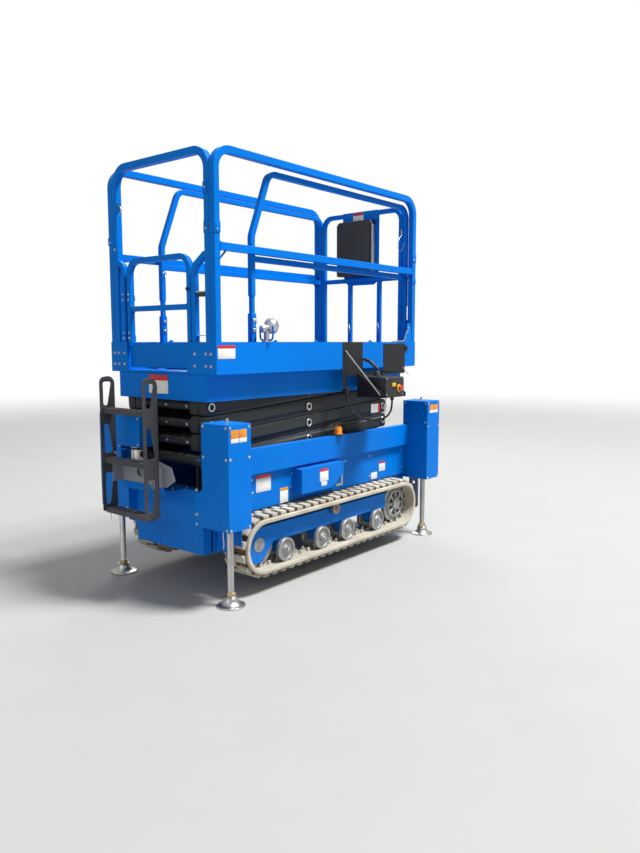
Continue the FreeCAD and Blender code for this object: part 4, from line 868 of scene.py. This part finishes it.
fastenerSets = [
    {"name": "chassisScrews", "tree": zincScrews, "body": "chassis",
     "spots": bothSides(boxScrews + coverScrews) + motorScrews},
    {"name": "chassisBolts", "tree": zincBolts, "body": "chassis",
     "spots": baseBolts + bothSides(wheelNuts + hubBolts)},
    {"name": "platformBolts", "tree": zincBolts, "body": "platform",
     "spots": cornerBolts + railBolts + hingeBolts},
    {"name": "controlScrews", "tree": zincScrews, "body": "platform", "spots": controlScrews},
    {"name": "gateBolts", "tree": zincBolts, "body": "gate", "spots": gateBolts},
    {"name": "extensionBolts", "tree": zincBolts, "body": "extension", "spots": deckBolts},
]
for level in scissor["levels"]:
    height = scissor["firstPin"] + scissor["rise"] * level
    fastenerSets.append({"name": "tubeBolts%d" % level, "tree": zincBolts, "body": "inner_%d" % level,
                         "spots": spotsAt("front", 0.9, [(0.0385, y, height) for y in (0.007, -0.158)])})
for item in fastenerSets:
    place(item["name"], grown(item["tree"], spotCloud(item["spots"]), item["name"], bevel=0.0004), item["body"])
print("fasteners made:", sum(len(item["spots"]) for item in fastenerSets))


# bent wires, chains and weld beads grow along lines of points, closed or open

def bentWire(radius, *points):
    return {"points": points, "radius": radius, "closed": False}


def closedWire(radius, *points):
    return {"points": points, "radius": radius, "closed": True}


def lineMesh(lines):
    mesh, points, edges, thick = bpy.data.meshes.new("lines"), [], [], []
    for line in lines:
        first = len(points)
        points += [Vector(point) + shift for point in line["points"]]
        edges += [(i, i + 1) for i in range(first, len(points) - 1)]
        if line["closed"]:
            edges.append((len(points) - 1, first))
        thick += [line["radius"]] * len(line["points"])
    mesh.from_pydata(points, edges, [])
    mesh.attributes.new("thick", "FLOAT", "POINT").data.foreach_set("value", thick)
    return mesh


def growAlong(item, tree, smoothAngle=creaseAngle):
    mesh = grown(tree, lineMesh(item["lines"]), item["name"], smoothAngle=smoothAngle)
    place(item["name"], mesh, item["body"])


def softLine(tree, wires):
    line = add(tree, "GeometryNodeMeshToCurve", {}, {"Mesh": wires["Geometry"]})
    return add(tree, "GeometryNodeCurveSplineType", {"spline_type": "CATMULL_ROM"}, {"Curve": line})


def everyPitch(tree, wires, line):
    return add(tree, "GeometryNodeCurveToPoints", {"mode": "LENGTH"}, {"Curve": line, "Length": wires["Pitch"]})


def wireTree(name, finish):
    tree, wires = openTree(name, {"Step": 0.004, "Sides": 10})
    line = add(tree, "GeometryNodeResampleCurve", {"mode": "LENGTH"},
               {"Curve": softLine(tree, wires), "Length": wires["Step"]})
    circle = add(tree, "GeometryNodeCurvePrimitiveCircle", {}, {"Resolution": wires["Sides"], "Radius": 1.0})
    swept = add(tree, "GeometryNodeCurveToMesh", {}, {"Curve": line, "Profile Curve": circle,
                                                      "Scale": named(tree, "thick"), "Fill Caps": True})
    return closeTree(tree, swept, finish)


def chainTree(name, finish):
    tree, wires = openTree(name, {"Wire Radius": 0.0012, "Link Length": 0.013, "Link Width": 0.007,
                                  "Pitch": 0.009})
    spots = everyPitch(tree, wires, softLine(tree, wires))
    oval = add(tree, "GeometryNodeCurvePrimitiveQuadrilateral", {},
               {"Width": wires["Link Length"], "Height": wires["Link Width"]})
    oval = add(tree, "GeometryNodeFilletCurve", {"mode": "POLY"},
               {"Curve": oval, "Radius": wires["Link Width"] * 0.49, "Count": 6})
    circle = add(tree, "GeometryNodeCurvePrimitiveCircle", {}, {"Resolution": 8, "Radius": wires["Wire Radius"]})
    link = add(tree, "GeometryNodeCurveToMesh", {}, {"Curve": oval, "Profile Curve": circle})
    link = moved(tree, link, turn=(0, math.pi / 2, 0))
    index = add(tree, "GeometryNodeInputIndex", {}, {})
    turned = spun(tree, spots.other("Rotation"), index * (math.pi / 2))     # each link a quarter turn on
    return closeTree(tree, onPoints(tree, spots, link, Rotation=turned), finish)


def weldTree(name, finish):
    tree, wires = openTree(name, {"Bead Radius": 0.0032, "Pitch": 0.0026, "Seed": 5})
    line = add(tree, "GeometryNodeMeshToCurve", {}, {"Mesh": wires["Geometry"]})
    ball = add(tree, "GeometryNodeMeshUVSphere", {}, {"Segments": 8, "Rings": 6, "Radius": wires["Bead Radius"]})
    vary = add(tree, "FunctionNodeRandomValue", {"data_type": "FLOAT"}, {2: 0.8, 3: 1.15, 8: wires["Seed"]}, 1)
    return closeTree(tree, onPoints(tree, everyPitch(tree, wires, line), ball, Scale=vary), finish)


guardArches = [bentWire(0.0026, (0.995, y, 0.776), (0.998, y, 0.812), (1.012, y, 0.838), (1.070, y, 0.846),
                        (1.128, y, 0.838), (1.142, y, 0.812), (1.145, y, 0.776)) for y in (-0.345, -0.375)]
guardBars = [bentWire(0.0026, (x, -0.345, z), (x, -0.375, z))
             for x, z in ((0.997, 0.805), (1.020, 0.841), (1.070, 0.846), (1.120, 0.841), (1.143, 0.805))]
steelWires = (
    {"name": "platformWires", "body": "platform", "finish": zincPlate, "lines": (
        bentWire(0.0045, (1.035, -0.435, 1.290), (1.098, -0.5175, 1.1575), (1.1615, -0.600, 1.025)),
        bentWire(0.0025, (1.655, -0.436, 1.175), (1.690, -0.437, 1.152), (1.729, -0.437, 1.125)),
        bentWire(0.0030, (1.224, -0.600, 1.014), (1.221, -0.600, 0.990), (1.217, -0.600, 0.968)),
        closedWire(0.0026, *ringPoints((1.214, -0.600, 0.955), 0.013)),
        closedWire(0.0020, *ringPoints((1.214, -0.600, 0.928), 0.011)),
        bentWire(0.0030, (0.003, 0.330, 2.078), (-0.001, 0.312, 2.072), (-0.002, 0.300, 2.055),
                 (-0.002, 0.303, 2.036), (-0.001, 0.316, 2.028)))},
    {"name": "extensionWires", "body": "extension", "finish": zincPlate, "lines": (
        bentWire(0.0045, (1.736, -0.363, 2.062), (1.755, -0.363, 2.062), (1.772, -0.363, 2.062)),
        bentWire(0.0035, (1.738, -0.363, 2.044), (1.736, -0.363, 2.062), (1.738, -0.363, 2.080)),
        bentWire(0.0010, (1.737, -0.368, 2.050), (1.700, -0.374, 2.022), (1.676, -0.376, 1.980),
                 (1.690, -0.377, 1.938), (1.726, -0.376, 1.946), (1.746, -0.374, 1.985), (1.768, -0.366, 2.002)),
        closedWire(0.0012, *ringPoints((0.316, -0.390, 1.440), 0.014)),
        closedWire(0.0015, *ringPoints((0.316, 0.337, 1.732), 0.013)),
        bentWire(0.0012, (1.768, -0.155, 1.462), (1.760, -0.170, 1.430), (1.762, -0.160, 1.396),
                 (1.771, -0.146, 1.390)),
        bentWire(0.0012, (1.768, 0.095, 1.460), (1.760, 0.080, 1.428), (1.762, 0.092, 1.395),
                 (1.771, 0.104, 1.390)))},
    {"name": "beaconGuard", "body": "chassis", "finish": blackPaint, "lines": guardArches + guardBars},
    {"name": "lampYoke", "body": "platform", "finish": bluePaint, "lines": (
        bentWire(0.0050, (0.378, -0.456, 1.424), (0.378, -0.456, 1.380), (0.378, -0.444, 1.354),
                 (0.378, -0.376, 1.354), (0.378, -0.364, 1.380), (0.378, -0.364, 1.424)),)},
    {"name": "ladderHook", "body": "chassis", "finish": rustyIron, "lines": (
        bentWire(0.0050, (-0.172, -0.127, 0.640), (-0.170, -0.124, 0.618), (-0.160, -0.122, 0.600),
                 (-0.149, -0.123, 0.588), (-0.152, -0.125, 0.574), (-0.164, -0.126, 0.570)),)},
    {"name": "jackPins", "body": "chassis", "finish": zincPlate, "lines": [
        bentWire(0.0022, (-0.010, y, 0.410), (-0.012, y, 0.375), (-0.008, y, 0.345), (-0.011, y, 0.315))
        for y in (-0.470, 0.470)]},
)
for item in steelWires:
    growAlong(item, wireTree(item["name"] + "Nodes", item["finish"]))

lanyardChain = {"name": "lanyardChain", "body": "platform", "lines": [
    bentWire(0.002, (1.724, -0.436, 1.426), (1.694, -0.438, 1.395), (1.668, -0.437, 1.352),
             (1.630, -0.433, 1.346), (1.585, -0.432, 1.348), (1.540, -0.431, 1.346))]}
growAlong(lanyardChain, chainTree("chainLinks", zincPlate))

bead = {"radius": 0.003, "shadeAngle": 80}
railJoints = [closedWire(bead["radius"], (x, y0, 1.789), (x, y1, 1.789), (x, y1, 1.827), (x, y0, 1.827))
              for x in (0.0415, 1.7785) for y0, y1 in ((-0.426, -0.388), (0.388, 0.426))]
gateJoints = [closedWire(bead["radius"], (0.009, y, 1.506), (0.039, y, 1.506), (0.039, y, 1.534),
                         (0.009, y, 1.534)) for y in (-0.205, 0.255)]
beamJoints = [bentWire(bead["radius"], (x, y, 0.640), (x, y, 0.774)) for x in (0.133, 1.830)
              for y in (-0.379, 0.379)]
weldSets = (
    {"name": "railWelds", "body": "platform", "lines": railJoints},
    {"name": "gateWelds", "body": "gate", "lines": gateJoints},
    {"name": "beamWelds", "body": "chassis", "lines": beamJoints},
)
beadTree = weldTree("weldBeads", bluePaint)
for item in weldSets:
    growAlong(item, beadTree, bead["shadeAngle"])
print("wires, chain and welds made")


# plates and turned pieces

planes = {"xy": (0, 1, 2), "xz": (0, 2, 1), "yz": (1, 2, 0)}
cornerSteps = 4


def slab(shape, outline, plane, low, high, soft=0.0008, material=0):
    # an outline in a plane, drawn out from one level to another, with softened rims
    a, b, c = planes[plane]
    rings = []
    for level in (low, high):
        ring = []
        for u, v in outline:
            spot = [0.0, 0.0, 0.0]
            spot[a], spot[b], spot[c] = u, v, level
            ring.append(shape.verts.new(Vector(spot) + shift))
        rings.append(ring)
    faces = [shape.faces.new(ring) for ring in rings]
    count = len(outline)
    for i in range(count):
        j = (i + 1) % count
        faces.append(shape.faces.new((rings[0][i], rings[0][j], rings[1][j], rings[1][i])))
    for face in faces:
        face.material_index = material
    rims = [*faces[0].edges, *faces[1].edges]
    bmesh.ops.bevel(shape, geom=rims, offset=soft, segments=2, profile=0.5, affect="EDGES", material=-1)


def rectangle(u0, u1, v0, v1, radius, corners=(1, 1, 1, 1)):
    # corners: low u low v, high u low v, high u high v, low u high v
    outline = []
    for i, (u, v) in enumerate(((u0, v0), (u1, v0), (u1, v1), (u0, v1))):
        r = radius * corners[i]
        if r == 0:
            outline.append((u, v))
            continue
        cu, cv = (u + r if u == u0 else u - r), (v + r if v == v0 else v - r)
        for k in range(cornerSteps + 1):
            angle = math.pi * (1 + i / 2) + k / cornerSteps * math.pi / 2
            outline.append((cu + r * math.cos(angle), cv + r * math.sin(angle)))
    return outline


def turn(shape, profile, centre, facing, segments):
    # a profile of radius and height, turned round the way it faces
    way = Vector(facings.get(facing, facing)).to_track_quat("Z", "Y")
    loops = []
    for radius, height in profile:
        loop = []
        for i in range(segments if radius > 0 else 1):
            angle = math.tau * i / segments
            spot = Vector((radius * math.cos(angle), radius * math.sin(angle), height))
            loop.append(shape.verts.new(way @ spot + Vector(centre) + shift))
        loops.append(loop)
    for low, high in zip(loops, loops[1:]):
        for i in range(segments):
            j = (i + 1) % segments
            corners = [low[i % len(low)], low[j % len(low)], high[j % len(high)], high[i % len(high)]]
            shape.faces.new(list(dict.fromkeys(corners)))


def finished(item, shape, *finishes):
    bmesh.ops.recalc_face_normals(shape, faces=shape.faces)
    place(item["name"], toMesh(shape, item["name"], finishes), item["body"])


# blank plates: white film, and where a plate has one, a plain band: its edge, its share of the plate, its colour
film = {"thickness": 0.0012, "corner": 0.004, "soft": 0.0004, "softBanded": 0.0002,
        "bands": {"red": 1, "orange": 2}}
plateSets = (
    {"name": "chassisPlates", "body": "chassis", "faces": (
        ("xz", faceAt["cover"], ((0.348, 0.465, 0.527, 0.620, "high", 0.2, "red"),
                                (0.540, 0.608, 0.436, 0.523, "high", 0.2, "orange"),
                                (1.426, 1.496, 0.444, 0.487),
                                (1.518, 1.589, 0.485, 0.549, "high", 0.2, "red"))),
        ("xz", faceAt["raisedCover"], ((0.811, 0.889, 0.528, 0.602, "high", 0.22, "red"),
                                      (0.825, 0.877, 0.500, 0.526))),
        ("xz", faceAt["box"], ((-0.007, 0.046, 0.851, 0.915, "high", 0.66, "orange"),
                              (0.050, 0.102, 0.851, 0.915, "high", 0.66, "orange"),
                              (1.858, 1.909, 0.860, 0.916, "high", 0.66, "orange"),
                              (1.913, 1.964, 0.860, 0.916, "high", 0.66, "orange"))))},
    {"name": "platformPlates", "body": "platform", "faces": (
        ("xz", faceAt["toeBoard"], ((0.010, 0.128, 1.259, 1.326, "high", 0.24, "red"),)),
        ("yz", faceAt["endBoard"], ((-0.058, 0.100, 1.072, 1.170, "high", 0.3, "red"),)))},
    {"name": "armPlate", "body": "outer_2", "faces": (
        ("xz", faceAt["arm"], ((1.465, 1.570, 0.877, 0.936, "right", 0.24, "red"),)),)},
    {"name": "panelPlate", "body": "extension", "faces": (
        ("yz", faceAt["panel"], ((-0.029, 0.060, 2.179, 2.234, "high", 0.35, "red"),)),)},
)


def bandedParts(u0, u1, v0, v1, edge, share):
    if edge == "high":
        cut = v1 - (v1 - v0) * share
        return (u0, u1, v0, cut, (1, 1, 0, 0)), (u0, u1, cut, v1, (0, 0, 1, 1))
    cut = u1 - (u1 - u0) * share
    return (u0, cut, v0, v1, (1, 0, 0, 1)), (cut, u1, v0, v1, (0, 1, 1, 0))


for item in plateSets:
    shape = bmesh.new()
    for plane, face, plates in item["faces"]:
        levels = (face, face - film["thickness"])
        for u0, u1, v0, v1, *band in plates:
            if not band:
                slab(shape, rectangle(u0, u1, v0, v1, film["corner"]), plane, *levels, soft=film["soft"])
                continue
            edge, share, colour = band
            parts = bandedParts(u0, u1, v0, v1, edge, share)
            for (*sides, corners), material in zip(parts, (0, film["bands"][colour])):
                slab(shape, rectangle(*sides, film["corner"], corners), plane, *levels, soft=film["softBanded"],
                     material=material)
    finished(item, shape, whiteFilm, redFilm, orangeFilm)
print("blank plates made")

# each slab: outline, its plane, the levels it runs between
angleOutline = [(1.052, 0.455), (1.118, 0.455), (1.118, 0.553), (1.103, 0.553), (1.103, 0.470), (1.052, 0.470)]
plateParts = (
    {"name": "railBrackets", "body": "platform", "finish": bluePaint, "slabs": (
        (rectangle(-0.426, -0.352, 1.866, 1.926, 0.004), "yz", -0.001, 0.0035),
        (rectangle(-0.378, -0.350, 2.056, 2.112, 0.004), "yz", -0.001, 0.0035),
        (rectangle(0.300, 0.388, 2.028, 2.084, 0.006), "yz", -0.001, 0.0035),
        (rectangle(0.352, 0.426, 1.868, 1.912, 0.004), "yz", -0.001, 0.0035),
        (rectangle(0.003, 0.041, 1.868, 1.924, 0.003), "xz", -0.426, -0.4295),
        (rectangle(1.775, 1.819, 1.868, 1.926, 0.003), "xz", -0.426, -0.4295),
        (rectangle(1.775, 1.819, 1.728, 1.760, 0.003), "xz", -0.426, -0.4290),
        (rectangle(1.775, 1.819, 1.868, 1.926, 0.003), "xz", 0.426, 0.4295))},
    {"name": "latchPlate", "body": "platform", "finish": paleMetal, "slabs": (
        (rectangle(0.007, 0.031, -0.352, -0.276, 0.002), "xy", 1.587, 1.593),
        (rectangle(0.010, 0.028, -0.352, -0.276, 0.002), "xy", 1.372, 1.377))},
    {"name": "darkParts", "body": "platform", "finish": blackPlastic, "slabs": (
        (rectangle(-0.394, -0.386, 1.880, 1.913, 0.003), "yz", -0.0015, 0.0),
        (rectangle(-0.340, -0.288, 1.566, 1.587, 0.003), "yz", 0.009, 0.029),
        (rectangle(1.690, 1.718, 1.284, 1.318, 0.003), "xz", -0.438, -0.429))},
    {"name": "chassisTabs", "body": "chassis", "finish": bluePaint, "slabs": (
        (rectangle(-0.020, 0.012, -0.336, -0.290, 0.003), "xy", 0.746, 0.752),
        (rectangle(-0.020, 0.012, 0.290, 0.336, 0.003), "xy", 0.746, 0.752))},
    {"name": "coverAngle", "body": "chassis", "finish": paleMetal, "slabs": (
        (angleOutline, "xz", -0.350, -0.354),)},
    {"name": "boxEdge", "body": "extension", "finish": paleMetal, "slabs": (
        (rectangle(1.738, 1.782, 1.830, 2.145, 0.004), "xz", -0.1195, -0.1215),)},
    {"name": "panelCap", "body": "extension", "finish": bluePaint, "slabs": (
        (rectangle(-0.150, 0.150, 2.1765, 2.240, 0.006), "yz", 1.768, 1.7715),
        (rectangle(-0.150, 0.150, 2.1765, 2.209, 0.002), "yz", 1.7712, 1.785))},
    {"name": "boxLid", "body": "extension", "finish": blackPlastic, "slabs": (
        (rectangle(-0.106, 0.166, 1.814, 2.160, 0.020), "yz", 1.7285, 1.733),
        (rectangle(0.010, 0.050, 1.812, 1.838, 0.003), "yz", 1.7245, 1.730))},
    {"name": "yellowSwitch", "body": "platform", "finish": yellowPlastic, "slabs": (
        (rectangle(1.240, 1.277, 1.074, 1.096, 0.004), "xz", -0.628, -0.636),)},
)
for item in plateParts:
    shape = bmesh.new()
    for piece in item["slabs"]:
        slab(shape, *piece)
    finished(item, shape, item["finish"])
print("plates made")

# profiles: radius, height over the place that carries the piece
nutProfile = [(0.0175, 0.0), (0.0235, 0.0), (0.0250, 0.0015), (0.0250, 0.0165), (0.0235, 0.018), (0.0175, 0.018)]
washerProfile = [(0.0175, 0.0), (0.031, 0.0), (0.032, 0.001), (0.032, 0.003), (0.031, 0.004), (0.0175, 0.004)]
lipProfile = [(0.0145, -0.001), (0.0145, 0.0012), (0.0155, 0.0020), (0.0225, 0.0020), (0.0238, 0.0008),
              (0.0238, -0.001)]
capProfile = [(0.0, 0.012), (0.011, 0.012), (0.015, 0.009), (0.016, 0.004), (0.018, 0.003), (0.018, -0.002)]
stopProfile = [(0.0, 0.024), (0.009, 0.0235), (0.015, 0.021), (0.0175, 0.017), (0.0170, 0.012), (0.0110, 0.010),
               (0.0105, -0.001)]
collarProfile = [(0.0225, -0.001), (0.0225, 0.004), (0.0200, 0.006), (0.0105, 0.006), (0.0105, -0.001)]
knobProfile = [(0.0, 0.013), (0.006, 0.0125), (0.0095, 0.010), (0.0095, 0.007), (0.006, 0.005), (0.005, -0.001)]
fittingProfile = [(0.0, 0.022), (0.005, 0.021), (0.006, 0.014), (0.009, 0.013), (0.0095, 0.004), (0.012, 0.003),
                  (0.012, -0.001)]
sleeveProfile = [(0.0, 0.030), (0.0045, 0.0298), (0.0066, 0.0285), (0.0066, 0.0015), (0.0050, 0.0004),
                 (0.0, 0.0003)]
glandProfile = [(0.0065, 0.0), (0.0095, 0.0), (0.0115, 0.002), (0.0115, 0.012), (0.0130, 0.013), (0.0130, 0.026),
                (0.0065, 0.026)]
bootProfile = [(0.024, -0.001), (0.024, 0.004), (0.020, 0.007), (0.021, 0.011), (0.017, 0.014), (0.018, 0.018),
               (0.014, 0.021), (0.015, 0.025), (0.0105, 0.029), (0.0105, 0.031)]
bandProfile = [(0.0435, 0.0), (0.0455, 0.001), (0.0455, 0.011), (0.0435, 0.012)]
baseProfile = [(0.0285, -0.002), (0.034, -0.002), (0.035, 0.0), (0.035, 0.006), (0.033, 0.008), (0.0285, 0.008)]
muzzleProfile = [(0.0205, -0.004), (0.0370, -0.004), (0.0385, -0.002), (0.0385, 0.012), (0.0365, 0.014),
                 (0.0205, 0.014)]
rimProfile = [(0.0395, -0.006), (0.0430, -0.005), (0.0440, 0.001), (0.0425, 0.006), (0.0395, 0.006),
              (0.0360, 0.002), (0.0, 0.001)]
jackPlaces = {"front_left": (0.054, 0.451), "front_right": (0.054, -0.451), "rear_left": (1.909, 0.451),
              "rear_right": (1.909, -0.451)}
turnedSets = [
    {"name": "boxFittings", "body": "chassis", "finish": zincPlate, "segments": 20,
     "turns": [(fittingProfile, (x, y, 0.941), "up") for y in (-0.416, 0.416) for x in (0.078, 1.933)]},
    {"name": "motorPort", "body": "chassis", "finish": charcoalPaint, "segments": 24,
     "turns": ((capProfile, (-0.040, 0.1185, 0.742), "right"), (bandProfile, (-0.030, 0.160, 0.590), "up"),
               (bandProfile, (-0.030, 0.160, 0.765), "up"))},
    {"name": "beaconBase", "body": "chassis", "finish": blackPlastic, "segments": 32,
     "turns": ((baseProfile, (1.050, -0.369, 0.777), "up"),)},
    {"name": "stopButton", "body": "platform", "finish": redPlastic, "segments": 28,
     "turns": ((stopProfile, (1.320, faceAt["control"], 1.062), "right"),)},
    {"name": "stopCollar", "body": "platform", "finish": yellowPlastic, "segments": 28,
     "turns": ((collarProfile, (1.320, faceAt["control"], 1.062), "right"),)},
    {"name": "glands", "body": "platform", "finish": blackPlastic, "segments": 24,
     "turns": ((glandProfile, (1.350, -0.560, 0.986), "up"), (glandProfile, (1.030, -0.450, 1.034), "up"),
               (bootProfile, (1.245, -0.520, 1.136), "up"))},
    {"name": "hingeSleevesUpper", "body": "platform", "finish": zincPlate, "segments": 20,
     "turns": [(sleeveProfile, (0.048, 0.291, z + 0.0005), "up") for z in gateHinges["sleeves"]]},
    {"name": "hingeSleevesLower", "body": "gate", "finish": zincPlate, "segments": 20,
     "turns": [(sleeveProfile, (0.048, 0.291, z - 0.0005), "down") for z in gateHinges["sleeves"]]},
    {"name": "latchKnob", "body": "gate", "finish": blackPlastic, "segments": 20,
     "turns": ((knobProfile, (0.009, -0.220, 1.607), "front"),)},
    {"name": "barrelMuzzle", "body": "barrel", "finish": zincPlate, "segments": 32,
     "turns": ((muzzleProfile, (0.8788, 0.0, 0.8842), (0.9769, 0.0, 0.2136)),)},
    {"name": "lampRim", "body": "platform", "finish": chromeSteel, "segments": 36,
     "turns": ((rimProfile, (0.4172, -0.410, 1.4277), (0.9707, 0.0, 0.2402)),)},
]
for corner, (x, y) in jackPlaces.items():
    for name, finish, segments, profile, z in (("padNut", brassZinc, 6, nutProfile, 0.055),
                                               ("padWasher", zincPlate, 36, washerProfile, 0.0505)):
        turnedSets.append({"name": name + corner.title().replace("_", ""), "body": "leg_" + corner,
                           "finish": finish, "segments": segments, "turns": ((profile, (x, y, z), "up"),)})
for level in scissor["levels"]:
    foot = scissor["firstPin"] + scissor["rise"] * (level - 1)
    lips = [(lipProfile, (x, y, foot + rise), facing) for x, rise in zip(scissor["pins"], scissor["pinRises"])
            for y, facing in ((0.3240, "left"), (-0.3240, "right"))]
    turnedSets.append({"name": "pinLips%d" % level, "body": "outer_%d" % level, "finish": zincPlate,
                       "segments": 32, "turns": lips})
for item in turnedSets:
    shape = bmesh.new()
    for profile, centre, facing in item["turns"]:
        turn(shape, profile, centre, facing, item["segments"])
    finished(item, shape, item["finish"])
print("turned pieces made")
